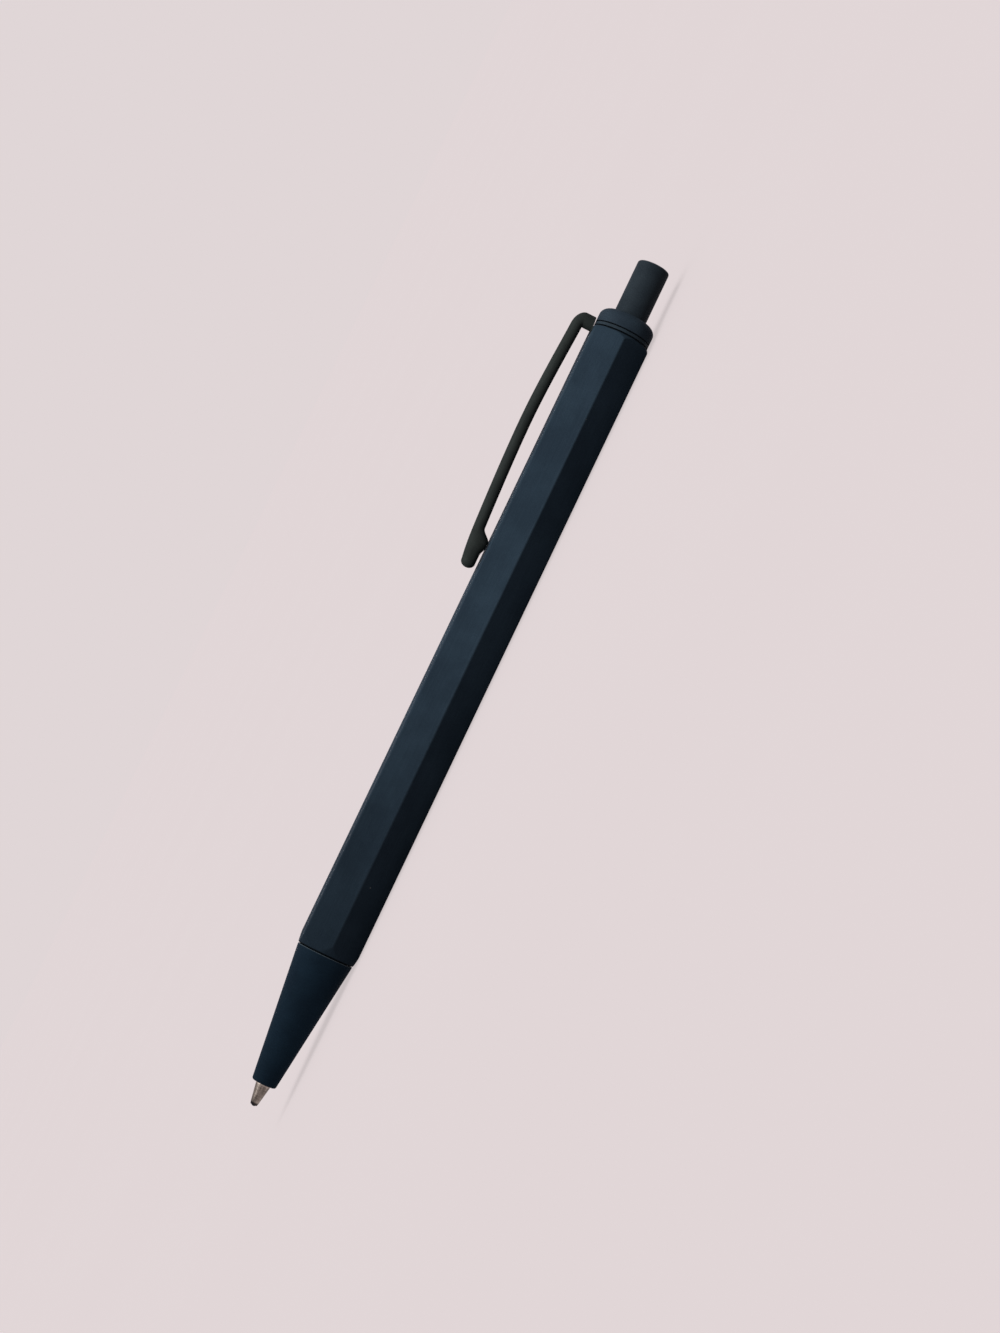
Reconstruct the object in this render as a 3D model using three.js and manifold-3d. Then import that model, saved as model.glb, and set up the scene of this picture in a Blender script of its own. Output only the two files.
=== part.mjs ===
// A retractable ballpoint pen with a six-sided barrel, a turned nose, a push button and a bent wire clip.
// It lies on one flat of its barrel along X, with the writing tip toward -X and the clip up.
// Lengths are in millimetres and angles in degrees.
// A station is the distance from the top end of the barrel, counted toward the tip; X is minus the station.
// A height over the flat is counted up from the flat that carries the clip.

import * as THREE from 'three';
import { mergeVertices } from 'three/addons/utils/BufferGeometryUtils.js';
import Module from 'manifold-3d';

// Gaps
const slideFit = 0.15;
const seamGap = 0.12;
const seatGap = 0.3;

// Barrel
const barrelAcrossFlats = 9.0;
const barrelWallAtFlats = 0.6;
const barrelEdgeRadius = 0.35;
const topBevelAngle = 30;
const noseBevelAngle = 13;
const endInset = 0.05;

// End cap, and the washer under it
const capHeight = 2.6;
const capSkirt = 1.3;
const capSpigotDepth = 6.0;
const washerThickness = 0.5;

// Push button
const buttonDiameter = 5.15;
const buttonShown = 9.05;
const buttonSkirtDepth = 5.0;
const buttonTopWall = 1.2;
const buttonEdgeRadius = 0.4;
const buttonDome = 0.2;

// Wire clip
const clipWire = 1.8;
const clipLength = 41.8;
const clipStubTop = 0.15;
const clipThroatStation = 1.18;
const clipBackReach = 1.2;
const clipBendHeight = 1.6;
const clipBendInside = 0.25;
const clipRootHeight = 2.42;
const clipCrestStation = 17.0;
const clipCrestHeight = 3.06;
const clipPadHeight = 2.43;
const clipTailHeight = 1.75;
const padStart = 35.3;
const padContact = 37.45;
const padBack = 39.3;
const padTailGap = 0.55;
const padContactGap = 0.1;

// Click mechanism
const clickStroke = 5.0;
const overTravel = 1.0;
const mechanismTubeTop = 2.6;
const mechanismTubeWall = 0.4;
const mechanismTubeLip = 0.8;
const camWall = 0.3;
const camFit = 0.1;
const camRibCount = 4;
const camRibHalfAngle = 24;
const lugHalfAngle = 16;
const rampRise = 0.8;
const guideRibLength = 4.0;
const ribRunAboveGuide = 1.5;
const crownTeeth = 8;
const crownToothDepth = 0.5;
const crownBore = 1.2;
const crownHollowDepth = 3.4;
const rotorPilotLength = 2.4;
const lugLength = 3.1;
const rotorWall = 0.3;
const rotorSkirt = 1.5;
const rotorSocketDepth = 2.8;
const plungerStemRelief = 0.05;

// Refill
const refillLength = 106.2;
const refillDiameter = 3.0;
const refillTubeWall = 0.35;
const refillEndPlug = 2.2;
const refillEarReach = 0.8;
const refillEarLength = 2.2;
const refillEarWidth = 1.1;
const inkLength = 71.5;

// Refill tip and ball
const tipProjection = 3.55;
const tipDiameter = 2.3;
const tipInsertLength = 6.0;
const tipCollarLength = 0.6;
const tipBodyLength = 9.7;
const tipConeLength = 3.4;
const tipBore = 0.6;
const tipWallAtBall = 0.12;
const ballDiameter = 1.0;
const ballClearance = 0.06;
const ballShown = 0.2;

// Return spring
const springWire = 0.4;
const springTurns = 13;
const springLength = 17.4;
const springClearance = 0.3;
const springEndPitch = 0.95;
const springSteps = 8;
const springSides = 5;

// Nose
const noseLength = 21.05;
const noseMouthDiameter = 3.9;
const noseEdgeRadius = 0.4;
const noseSpigotLength = 6.3;
const noseSpigotWall = 0.7;
const noseMouthDepth = 4.6;
const noseMouthFit = 0.12;
const insertLength = 7.1;

// Facets around the large, middle and small turned pieces
const largeFacets = 48;
const middleFacets = 32;
const smallFacets = 16;

// Radii, worked inward from the barrel
const flatRadius = barrelAcrossFlats / 2;
const endRadius = flatRadius - endInset;
const boreRadius = flatRadius - barrelWallAtFlats;
const tubeRadius = boreRadius - slideFit;
const tubeBore = tubeRadius - mechanismTubeWall;
const camRadius = tubeBore - camFit;
const slotRadius = camRadius - camWall;
const lugRadius = slotRadius - camFit;
const spigotRadius = tubeBore - slideFit;

// Radii, worked outward from the refill
const refillRadius = refillDiameter / 2;
const inkRadius = refillRadius - refillTubeWall - slideFit;
const rotorRadius = refillRadius + slideFit + rotorWall;
const ribRadius = rotorRadius + slideFit;
const stemRadius = rotorRadius - plungerStemRelief;
const buttonRadius = buttonDiameter / 2;
const springMeanRadius = refillRadius + springClearance + springWire / 2;
const noseBore = springMeanRadius + springWire / 2 + 0.2;
const noseSpigotRadius = noseBore + noseSpigotWall;

// Stations of the mechanism, counted down from the cap
const washerTop = -seamGap - washerThickness;
const capSeat = washerTop - seamGap;
const capTop = capSeat - capHeight;
const buttonTop = capTop - buttonShown;
const camTop = capSpigotDepth + seatGap;
const guideTop = capSpigotDepth + clickStroke + seatGap + 0.2;
const guideEnd = guideTop + guideRibLength;
const ribTop = guideTop - ribRunAboveGuide;
const ribEnd = guideEnd + 2 * overTravel;
const crownEnd = ribEnd - 0.2;
const rotorTop = crownEnd + seatGap;
const lugTop = ribEnd + rampRise + seatGap;
const lugEnd = lugTop + rampRise + lugLength;
const rotorEnd = lugEnd + rotorSkirt;
const refillTop = rotorEnd - rotorSocketDepth + seatGap;
const camEnd = lugEnd + overTravel + 1.4;
const tubeEnd = camEnd + seatGap + mechanismTubeLip;

// Stations of the writing end: the barrel is as long as the refill, the nose and the tip ask for
const ballEnd = refillTop + refillLength;
const noseEnd = ballEnd - tipProjection;
const noseTop = noseEnd - noseLength;
const barrelLength = noseTop - seamGap;
const refillTubeEnd = ballEnd - tipBodyLength - tipCollarLength;
const springFront = noseTop + 0.485 * noseLength;
const springRear = springFront - springLength;
const earEnd = springRear - seatGap;
const mouthTop = noseEnd - noseMouthDepth;

const coat = { roughness: 0.55, metalness: 0.35 };
const finishes = {
  coatedMetal: new THREE.MeshStandardMaterial({ color: 0x25313b, ...coat }),
  coatedCap: new THREE.MeshStandardMaterial({ color: 0x262f38, ...coat }),
  coatedButton: new THREE.MeshStandardMaterial({ color: 0x222d37, ...coat }),
  coatedWire: new THREE.MeshStandardMaterial({ color: 0x2f3334, ...coat }),
  washerMetal: new THREE.MeshStandardMaterial({ color: 0x46535c, roughness: 0.4, metalness: 0.7 }),
  brass: new THREE.MeshStandardMaterial({ color: 0xb8974f, roughness: 0.35, metalness: 1.0 }),
  nickelSilver: new THREE.MeshStandardMaterial({ color: 0xa8a49c, roughness: 0.28, metalness: 1.0 }),
  carbide: new THREE.MeshStandardMaterial({ color: 0x3a3b3d, roughness: 0.2, metalness: 1.0 }),
  springSteel: new THREE.MeshStandardMaterial({ color: 0xb4b7ba, roughness: 0.3, metalness: 1.0 }),
  camPlastic: new THREE.MeshStandardMaterial({ color: 0xd9dadb, roughness: 0.5, metalness: 0.0 }),
  plungerPlastic: new THREE.MeshStandardMaterial({ color: 0x2b5fa6, roughness: 0.45, metalness: 0.0 }),
  refillPlastic: new THREE.MeshStandardMaterial({ color: 0xe8ecee, roughness: 0.35, metalness: 0.0 }),
  ink: new THREE.MeshStandardMaterial({ color: 0x10131c, roughness: 0.25, metalness: 0.0 }),
};

const wasm = await Module();
wasm.setup();

function radians(degrees) {
  return degrees * Math.PI / 180;
}

function mix(from, to, share) {
  return from + (to - from) * share;
}

function ease(share) {
  const held = Math.min(Math.max(share, 0), 1);
  return held * held * (3 - 2 * held);
}

// A closed solid from any closed geometry: shared corners are merged and faces without area are dropped.
function toSolid(geometry) {
  const bare = geometry.clone();
  bare.deleteAttribute('normal');
  bare.deleteAttribute('uv');
  const merged = mergeVertices(bare, 1e-5);
  const corners = merged.index.array;
  const faces = [];
  for (let i = 0; i < corners.length; i += 3) {
    const [p, q, r] = corners.slice(i, i + 3);
    if (p !== q && q !== r && r !== p) {
      faces.push(p, q, r);
    }
  }
  return new wasm.Manifold(new wasm.Mesh({
    numProp: 3,
    vertProperties: new Float32Array(merged.attributes.position.array),
    triVerts: new Uint32Array(faces),
  }));
}

function toGeometry(solid) {
  const mesh = solid.getMesh();
  const geometry = new THREE.BufferGeometry();
  geometry.setAttribute('position', new THREE.BufferAttribute(mesh.vertProperties, 3));
  geometry.setIndex(new THREE.BufferAttribute(mesh.triVerts, 1));
  geometry.computeVertexNormals();
  return geometry;
}

function joined(...geometries) {
  const [first, ...others] = geometries.map(toSolid);
  return toGeometry(others.reduce((whole, piece) => whole.add(piece), first));
}

function piece(name, geometry, finish) {
  const mesh = new THREE.Mesh(geometry.index ? toGeometry(toSolid(geometry)) : geometry, finish.clone());
  mesh.name = name;
  return mesh;
}

// A solid turned about the pen's axis from an outline of [station, radius] corners,
// which starts and ends on the axis or is closed on itself here.
function turned(outline, facets = middleFacets) {
  const points = outline.map(([station, radius]) => new THREE.Vector2(radius, -station));
  const startsOnAxis = points[0].x === 0;
  if (!startsOnAxis) {
    points.push(points[0].clone());
  }
  if (THREE.ShapeUtils.area(points) < 0) {
    points.reverse();
  }
  return new THREE.LatheGeometry(points, facets).rotateZ(-Math.PI / 2);
}

// A quarter of an ellipse from one [station, radius] to another: it leaves along the axis and arrives square.
function quarter([fromStation, fromRadius], [toStation, toRadius], steps = 4) {
  return Array.from({ length: steps + 1 }, (_, i) => {
    const turn = radians(90 * i / steps);
    return [
      fromStation + (toStation - fromStation) * Math.sin(turn),
      toRadius + (fromRadius - toRadius) * Math.cos(turn),
    ];
  });
}

// A closed skin over rings of points, with flat ends, or over a loop of rings that meets itself.
function skinned(rings, loop = false) {
  const sides = rings[0].length;
  const positions = rings.flat().flatMap((point) => point.toArray());
  const faces = [];
  const spans = loop ? rings.length : rings.length - 1;
  for (let i = 0; i < spans; i++) {
    const here = i * sides;
    const next = ((i + 1) % rings.length) * sides;
    for (let j = 0; j < sides; j++) {
      const k = (j + 1) % sides;
      faces.push(here + j, here + k, next + k, here + j, next + k, next + j);
    }
  }
  if (!loop) {
    const last = (rings.length - 1) * sides;
    for (let j = 1; j < sides - 1; j++) {
      faces.push(0, j + 1, j, last, last + j, last + j + 1);
    }
  }
  const geometry = new THREE.BufferGeometry();
  geometry.setAttribute('position', new THREE.Float32BufferAttribute(positions, 3));
  geometry.setIndex(faces);
  return outward(geometry);
}

// Turns every face round where the skin came out inside out, which its signed volume shows.
function outward(geometry) {
  const place = geometry.attributes.position;
  const corners = Array.from(geometry.index.array);
  const point = (n) => new THREE.Vector3().fromBufferAttribute(place, n);
  let volume = 0;
  for (let i = 0; i < corners.length; i += 3) {
    volume += point(corners[i]).dot(point(corners[i + 1]).cross(point(corners[i + 2])));
  }
  if (volume < 0) {
    geometry.setIndex(corners.reverse());
  }
  return geometry;
}

function onAxisCircle(station, radius, angle) {
  return new THREE.Vector3(-station, radius * Math.sin(radians(angle)), radius * Math.cos(radians(angle)));
}

// A rib, lug or toothed ring: a block between two radii and two angles, whose ends may follow the angle.
function sector(innerRadius, outerRadius, fromAngle, toAngle, topAt, endAt, steps = 4) {
  const loop = toAngle - fromAngle === 360;
  const rings = Array.from({ length: loop ? steps : steps + 1 }, (_, i) => {
    const angle = mix(fromAngle, toAngle, i / steps);
    return [
      onAxisCircle(topAt(angle), innerRadius, angle),
      onAxisCircle(topAt(angle), outerRadius, angle),
      onAxisCircle(endAt(angle), outerRadius, angle),
      onAxisCircle(endAt(angle), innerRadius, angle),
    ];
  });
  return skinned(rings, loop);
}

// Slots lie under the clip and every quarter turn from it, and the ribs between them.
function slotAngles() {
  return Array.from({ length: camRibCount }, (_, i) => 360 * i / camRibCount);
}

function ribAngles() {
  return slotAngles().map((angle) => angle + 180 / camRibCount);
}

// V-shaped teeth around a crown: 0 in the valleys and 1 at the points.
function toothHeight(angle) {
  const along = (angle * crownTeeth / 360) % 1;
  return 1 - Math.abs(2 * along - 1);
}

// Hexagon with rounded edges, its flats facing up and down once it lies along the pen.
function hexagon() {
  const outline = new THREE.Shape();
  const edgeReach = (flatRadius - barrelEdgeRadius) / Math.cos(radians(30));
  for (let corner = 30; corner < 360; corner += 60) {
    const x = edgeReach * Math.cos(radians(corner));
    const y = edgeReach * Math.sin(radians(corner));
    outline.absarc(x, y, barrelEdgeRadius, radians(corner - 30), radians(corner + 30), false);
  }
  return outline.closePath();
}

// Slot in the barrel's top edge that takes the clip's stub.
function clipNotch() {
  const half = clipWire / 2 + slideFit;
  const depth = clipThroatStation + seatGap;
  const outline = new THREE.Shape();
  outline.moveTo(1, half);
  outline.lineTo(half - depth, half);
  outline.absarc(half - depth, 0, half, Math.PI / 2, 1.5 * Math.PI, false);
  outline.lineTo(1, -half);
  const cut = new THREE.ExtrudeGeometry(outline, { depth: flatRadius, bevelEnabled: false, curveSegments: 8 });
  return cut.translate(0, 0, boreRadius / 2);
}

// Six-sided tube. A cone at each end takes the edges down to a round face, which leaves a scallop on each edge.
function barrel() {
  const spare = 1;
  const reach = flatRadius / Math.cos(radians(30)) + 0.1;
  const topBevel = (reach - endRadius) / Math.tan(radians(topBevelAngle));
  const noseBevel = (reach - endRadius) / Math.tan(radians(noseBevelAngle));
  const prism = new THREE.ExtrudeGeometry(hexagon(), {
    depth: barrelLength + 2 * spare,
    bevelEnabled: false,
    curveSegments: 3,
  }).rotateY(-Math.PI / 2).translate(spare, 0, 0);
  const envelope = turned([
    [0, 0],
    [0, endRadius],
    [topBevel, reach],
    [barrelLength - noseBevel, reach],
    [barrelLength, endRadius],
    [barrelLength, 0],
  ], largeFacets);
  const bore = turned([
    [-spare, 0],
    [-spare, boreRadius],
    [barrelLength + spare, boreRadius],
    [barrelLength + spare, 0],
  ]);
  const shell = toSolid(prism).intersect(toSolid(envelope));
  return toGeometry(shell.subtract(toSolid(bore)).subtract(toSolid(clipNotch())));
}

// Domed collar over the barrel's end, with the spigot that guides the button.
function endCap() {
  const hole = buttonRadius + slideFit;
  return turned([
    [capSpigotDepth, spigotRadius],
    [capSeat, spigotRadius],
    [capSeat, endRadius],
    ...quarter([capSeat - capSkirt, endRadius], [capTop, hole + 0.15], 6),
    [capTop + 0.15, hole],
    [capSpigotDepth, hole],
  ], largeFacets);
}

function clipWasher() {
  return turned([
    [washerTop, endRadius],
    [-seamGap, endRadius],
    [-seamGap, spigotRadius + slideFit],
    [washerTop, spigotRadius + slideFit],
  ], largeFacets);
}

// Thin cup with a slightly domed top.
function pushButton() {
  const crownRadius = buttonRadius - buttonEdgeRadius;
  const dome = Array.from({ length: 5 }, (_, i) => [buttonTop + buttonDome * (i / 4) ** 2, crownRadius * i / 4]);
  const crownTop = buttonTop + buttonDome;
  const edge = quarter([crownTop + buttonEdgeRadius, buttonRadius], [crownTop, crownRadius]);
  return turned([
    ...dome,
    ...edge.reverse().slice(1),
    [buttonSkirtDepth, buttonRadius],
    [buttonSkirtDepth, stemRadius + slideFit],
    [buttonTop + buttonTopWall, stemRadius + slideFit],
    [buttonTop + buttonTopWall, 0],
  ]);
}

// Height of the wire's centre over the flat: from the bend up to a crest, then down to the pad and the tail.
function clipHeight(station) {
  const line = new THREE.SplineCurve([
    new THREE.Vector2(clipThroatStation + clipBendInside, clipRootHeight),
    new THREE.Vector2(clipCrestStation, clipCrestHeight),
    new THREE.Vector2(padStart, clipPadHeight),
    new THREE.Vector2(clipLength, clipTailHeight),
  ]);
  let low = 0;
  let high = 1;
  for (let i = 0; i < 24; i++) {
    const half = (low + high) / 2;
    if (line.getPoint(half).x < station) {
      low = half;
    } else {
      high = half;
    }
  }
  return line.getPoint(low).y;
}

// Height of the clip's underside: the wire's own, then the bump that touches the barrel, then the tail held clear.
function clipUnderside(station) {
  const wire = clipHeight(station) - clipWire / 2;
  if (station < padContact) {
    return mix(wire, padContactGap, ease((station - padStart) / (padContact - padStart)));
  }
  return mix(padContactGap, padTailGap, ease((station - padContact) / (padBack - padContact)));
}

// Ring of the clip through two [station, height] points, on its inner and outer edge, and a half width across.
function clipRing(inner, outer, half = clipWire / 2, sides = 12) {
  return Array.from({ length: sides }, (_, i) => {
    const turn = radians(360 * i / sides);
    const share = (1 + Math.cos(turn)) / 2;
    return new THREE.Vector3(
      -mix(inner[0], outer[0], share),
      half * Math.sin(turn),
      flatRadius + mix(inner[1], outer[1], share),
    );
  });
}

// Flattened stub in the barrel's notch, which spreads back over the washer and cap, and the bend.
function clipRoot() {
  const wire = clipWire / 2;
  const foot = spigotRadius + 0.25 - flatRadius;
  const stub = (height, spread) => clipRing(
    [clipThroatStation, height],
    [mix(clipStubTop, -clipBackReach, spread), height],
    wire,
  );
  const rings = [stub(foot, 0), stub(0.15, 0), stub(0.4, 0.65), stub(0.8, 0.95)];
  const bendSteps = 6;
  const centre = clipThroatStation + clipBendInside;
  const outerReach = centre + clipBackReach;
  const outerRise = clipRootHeight + wire - clipBendHeight;
  const innerRise = clipRootHeight - wire - clipBendHeight;
  for (let i = 0; i <= bendSteps; i++) {
    const turn = radians(90 * i / bendSteps);
    rings.push(clipRing(
      [centre - clipBendInside * Math.cos(turn), clipBendHeight + innerRise * Math.sin(turn)],
      [centre - outerReach * Math.cos(turn), clipBendHeight + outerRise * Math.sin(turn)],
    ));
  }
  return rings;
}

// Bent wire: a stub in the barrel's notch, a tight bend, a long arched arm, and a pad with a bump at its end.
function clipArm() {
  const wire = clipWire / 2;
  const rings = clipRoot();
  const armStart = clipThroatStation + clipBendInside;
  const armSteps = 11;
  for (let i = 1; i <= armSteps; i++) {
    const station = mix(armStart, padStart, i / armSteps);
    const height = clipHeight(station);
    rings.push(clipRing([station, height - wire], [station, height + wire]));
  }
  const padSteps = 10;
  for (let i = 1; i <= padSteps; i++) {
    const station = mix(padStart, clipLength - wire, i / padSteps);
    rings.push(clipRing([station, clipUnderside(station)], [station, clipHeight(station) + wire]));
  }
  const low = padTailGap;
  const high = clipHeight(clipLength - wire) + wire;
  for (const turn of [25, 50, 72, 88].map(radians)) {
    const station = clipLength - wire * (1 - Math.sin(turn));
    const draw = (1 - Math.cos(turn)) / 2;
    rings.push(clipRing([station, mix(low, high, draw)], [station, mix(high, low, draw)], wire * Math.cos(turn)));
  }
  return skinned(rings);
}

// Metal sleeve that holds the click mechanism in the barrel, with a lip turned in at its lower end.
function mechanismTube() {
  return turned([
    [mechanismTubeTop, tubeRadius],
    [tubeEnd, tubeRadius],
    [tubeEnd, lugRadius - seatGap],
    [tubeEnd - mechanismTubeLip, lugRadius - seatGap],
    [tubeEnd - mechanismTubeLip, tubeBore],
    [mechanismTubeTop, tubeBore],
  ]);
}

// Sleeve with stop ribs inside: the plunger's ribs and the rotor's lugs run in the slots between them,
// and the ramps at the ribs' lower ends turn the rotor and hold it.
function camSleeve() {
  const sleeve = turned([
    [camTop, camRadius],
    [camEnd, camRadius],
    [camEnd, slotRadius],
    [camTop, slotRadius],
  ]);
  const ribs = ribAngles().map((middle) => {
    const from = middle - camRibHalfAngle;
    const to = middle + camRibHalfAngle;
    const ramp = (angle) => ribEnd + rampRise * (angle - from) / (to - from);
    return sector(ribRadius, slotRadius + camWall / 2, from, to, () => ribTop, ramp);
  });
  return joined(sleeve, ...ribs);
}

// Stem that plugs into the button, with guide ribs that run in the cam slots and a crown of teeth that drives
// the rotor.
function thrustPlunger() {
  const body = turned([
    [buttonTop + buttonTopWall + seatGap, 0],
    [buttonTop + buttonTopWall + seatGap, stemRadius],
    [guideTop, stemRadius],
    [guideTop, rotorRadius],
    [crownEnd - crownToothDepth, rotorRadius],
    [crownEnd - crownToothDepth, crownBore],
    [crownEnd - crownHollowDepth, crownBore],
    [crownEnd - crownHollowDepth, 0],
  ]);
  const teeth = sector(
    crownBore, rotorRadius, 0, 360,
    () => crownEnd - crownToothDepth - 0.2,
    (angle) => crownEnd - crownToothDepth * (1 - toothHeight(angle)),
    4 * crownTeeth,
  );
  const ribs = slotAngles().map((middle) => sector(
    stemRadius - 0.2, lugRadius, middle - lugHalfAngle, middle + lugHalfAngle, () => guideTop, () => guideEnd,
  ));
  return joined(body, teeth, ...ribs);
}

// Rotor: a pilot in the plunger's crown, a toothed face, lugs with slanted tops, and a socket for the refill.
function camRotor() {
  const pilot = crownBore - slideFit;
  const neck = rotorTop + crownToothDepth;
  const body = turned([
    [rotorTop - rotorPilotLength, 0],
    [rotorTop - rotorPilotLength, pilot - 0.2],
    [rotorTop - rotorPilotLength + 0.3, pilot],
    [neck, pilot],
    [neck, rotorRadius],
    [rotorEnd, rotorRadius],
    [rotorEnd, refillRadius + slideFit],
    [rotorEnd - rotorSocketDepth, refillRadius + slideFit],
    [rotorEnd - rotorSocketDepth, 0],
  ]);
  const teeth = sector(
    pilot - 0.2, rotorRadius, 0, 360,
    (angle) => rotorTop + crownToothDepth * (1 - toothHeight(angle)),
    () => neck + 0.2,
    4 * crownTeeth,
  );
  const lugs = slotAngles().map((middle) => {
    const from = middle - lugHalfAngle;
    const ramp = (angle) => lugTop + rampRise * (angle - from) / (2 * lugHalfAngle);
    return sector(rotorRadius - 0.2, lugRadius, from, middle + lugHalfAngle, ramp, () => lugEnd);
  });
  return joined(body, teeth, ...lugs);
}

// Refill tube with two ears pinched out of its wall, on which the spring bears.
function refillTube() {
  const tube = turned([
    [refillTop, refillRadius],
    [refillTubeEnd, refillRadius],
    [refillTubeEnd, refillRadius - refillTubeWall],
    [refillTop, refillRadius - refillTubeWall],
  ], smallFacets);
  const ears = [1, -1].map((side) => {
    const outline = new THREE.Shape();
    const low = refillRadius - refillTubeWall / 2;
    outline.moveTo(-earEnd, low);
    outline.lineTo(-earEnd, refillRadius + refillEarReach);
    outline.lineTo(refillEarLength / 3 - earEnd, refillRadius + refillEarReach);
    outline.lineTo(refillEarLength - earEnd, low);
    const ear = new THREE.ExtrudeGeometry(outline, { depth: refillEarWidth, bevelEnabled: false });
    return ear.translate(0, 0, -refillEarWidth / 2).rotateX(side * Math.PI / 2);
  });
  return joined(tube, ...ears);
}

function refillPlug() {
  const radius = refillRadius - refillTubeWall - slideFit;
  const top = refillTop + 0.2;
  return turned([[top, 0], [top, radius], [top + refillEndPlug, radius], [top + refillEndPlug, 0]], smallFacets);
}

function inkColumn() {
  const end = refillTubeEnd - tipInsertLength - seatGap;
  return turned([[end - inkLength, 0], [end - inkLength, inkRadius], [end, inkRadius], [end, 0]], smallFacets);
}

// Turned metal tip: an insert in the tube, a collar against its end, a straight body and a cone for the ball.
function refillTip() {
  const body = tipDiameter / 2;
  const socket = ballDiameter / 2 + ballClearance;
  const ballCentre = ballEnd - ballDiameter / 2;
  const tipEnd = ballEnd - ballShown;
  const tubeFace = refillTubeEnd + seamGap;
  const feed = tipBore / 2;
  const socketStart = Math.asin(feed / socket);
  const socketEnd = Math.PI - Math.acos((tipEnd - ballCentre) / socket);
  const socketArc = Array.from({ length: 7 }, (_, i) => {
    const turn = mix(socketStart, socketEnd, i / 6);
    return [ballCentre - socket * Math.cos(turn), socket * Math.sin(turn)];
  });
  return turned([
    [tubeFace - tipInsertLength, inkRadius],
    [tubeFace, inkRadius],
    [tubeFace, refillRadius - 0.1],
    [tubeFace + tipCollarLength, refillRadius - 0.1],
    [tubeFace + tipCollarLength, body],
    [ballEnd - tipConeLength, body],
    [tipEnd, socketArc[6][1] + tipWallAtBall],
    ...socketArc.reverse(),
    [tubeFace - tipInsertLength, feed],
  ], smallFacets);
}

function writingBall() {
  const ball = new THREE.SphereGeometry(ballDiameter / 2, 16, 12);
  return ball.translate(ballDiameter / 2 - ballEnd, 0, 0);
}

// Centre line of the spring: the curls near each end lie closer together, and each end of the wire runs straight
// for one wire diameter.
function springLine() {
  const steps = springTurns * springSteps;
  const room = springLength - springWire;
  const lean = (room - springEndPitch * springTurns) / room;
  const points = Array.from({ length: steps + 1 }, (_, i) => {
    const share = i / steps;
    const spread = share - lean * Math.sin(2 * Math.PI * share) / (2 * Math.PI);
    const station = springRear + springWire / 2 + room * spread;
    return onAxisCircle(station, springMeanRadius, 360 * springTurns * share);
  });
  const straightOn = (from, to) => to.clone().add(to.clone().sub(from).setLength(springWire));
  const rear = straightOn(points[1], points[0]);
  const front = straightOn(points[steps - 1], points[steps]);
  rear.x = points[0].x;
  front.x = points[steps].x;
  return [rear, ...points, front];
}

// Least gap between two curls, measured between points along the wire that are over half a curl apart.
function leastCurlGap(line) {
  const fine = [];
  for (let i = 0; i < line.length - 1; i++) {
    for (let j = 0; j < 4; j++) {
      fine.push(line[i].clone().lerp(line[i + 1], j / 4));
    }
  }
  let least = Infinity;
  const apart = 2 * springSteps;
  for (let i = 0; i < fine.length; i++) {
    for (let j = i + apart; j < fine.length; j++) {
      least = Math.min(least, fine[i].distanceTo(fine[j]));
    }
  }
  return least - springWire;
}

function returnSpring() {
  const line = springLine();
  console.log(`return spring: least gap between curls ${leastCurlGap(line).toFixed(2)} mm`);
  const rings = line.map((centre, i) => {
    const along = line[Math.min(i + 1, line.length - 1)].clone().sub(line[Math.max(i - 1, 0)]).normalize();
    const outwardWay = new THREE.Vector3(0, centre.y, centre.z).normalize();
    const across = along.clone().cross(outwardWay).normalize();
    const square = across.clone().cross(along).normalize();
    return Array.from({ length: springSides }, (_, j) => {
      const turn = radians(360 * j / springSides);
      const offset = square.clone().multiplyScalar(Math.cos(turn)).addScaledVector(across, Math.sin(turn));
      return centre.clone().addScaledVector(offset, springWire / 2);
    });
  });
  return skinned(rings);
}

// Turned cone, hollow for the spring and the refill, with a spigot that enters the barrel.
function noseCone() {
  const spigotTop = noseTop - noseSpigotLength;
  const guide = refillRadius + slideFit;
  const mouth = tipDiameter / 2 + noseMouthFit;
  const mouthRadius = noseMouthDiameter / 2;
  return turned([
    [spigotTop, noseSpigotRadius],
    [noseTop, noseSpigotRadius],
    [noseTop, endRadius],
    ...quarter([noseEnd - noseEdgeRadius, mouthRadius], [noseEnd, mouthRadius - noseEdgeRadius]),
    [noseEnd, mouth],
    [mouthTop, mouth],
    [mouthTop - (guide - mouth), guide],
    [springFront, guide],
    [springFront, noseBore],
    [spigotTop, noseBore],
  ]);
}

function threadInsert() {
  const end = barrelLength - 0.2;
  return turned([
    [end - insertLength, tubeRadius],
    [end, tubeRadius],
    [end, noseSpigotRadius + slideFit],
    [end - insertLength, noseSpigotRadius + slideFit],
  ]);
}

const outside = new THREE.Group();
outside.add(
  piece('barrel', barrel(), finishes.coatedMetal),
  piece('end_cap', endCap(), finishes.coatedCap),
  piece('clip_washer', clipWasher(), finishes.washerMetal),
  piece('clip_arm', clipArm(), finishes.coatedWire),
  piece('nose_cone', noseCone(), finishes.coatedMetal),
  piece('thread_insert', threadInsert(), finishes.brass),
);

const mechanism = new THREE.Group();
mechanism.add(
  piece('push_button', pushButton(), finishes.coatedButton),
  piece('thrust_plunger', thrustPlunger(), finishes.plungerPlastic),
  piece('cam_rotor', camRotor(), finishes.camPlastic),
  piece('cam_sleeve', camSleeve(), finishes.camPlastic),
  piece('mechanism_tube', mechanismTube(), finishes.brass),
);

const writingUnit = new THREE.Group();
writingUnit.add(
  piece('refill_tube', refillTube(), finishes.refillPlastic),
  piece('refill_plug', refillPlug(), finishes.camPlastic),
  piece('ink_column', inkColumn(), finishes.ink),
  piece('refill_tip', refillTip(), finishes.nickelSilver),
  piece('writing_ball', writingBall(), finishes.carbide),
  piece('return_spring', returnSpring(), finishes.springSteel),
);

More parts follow.
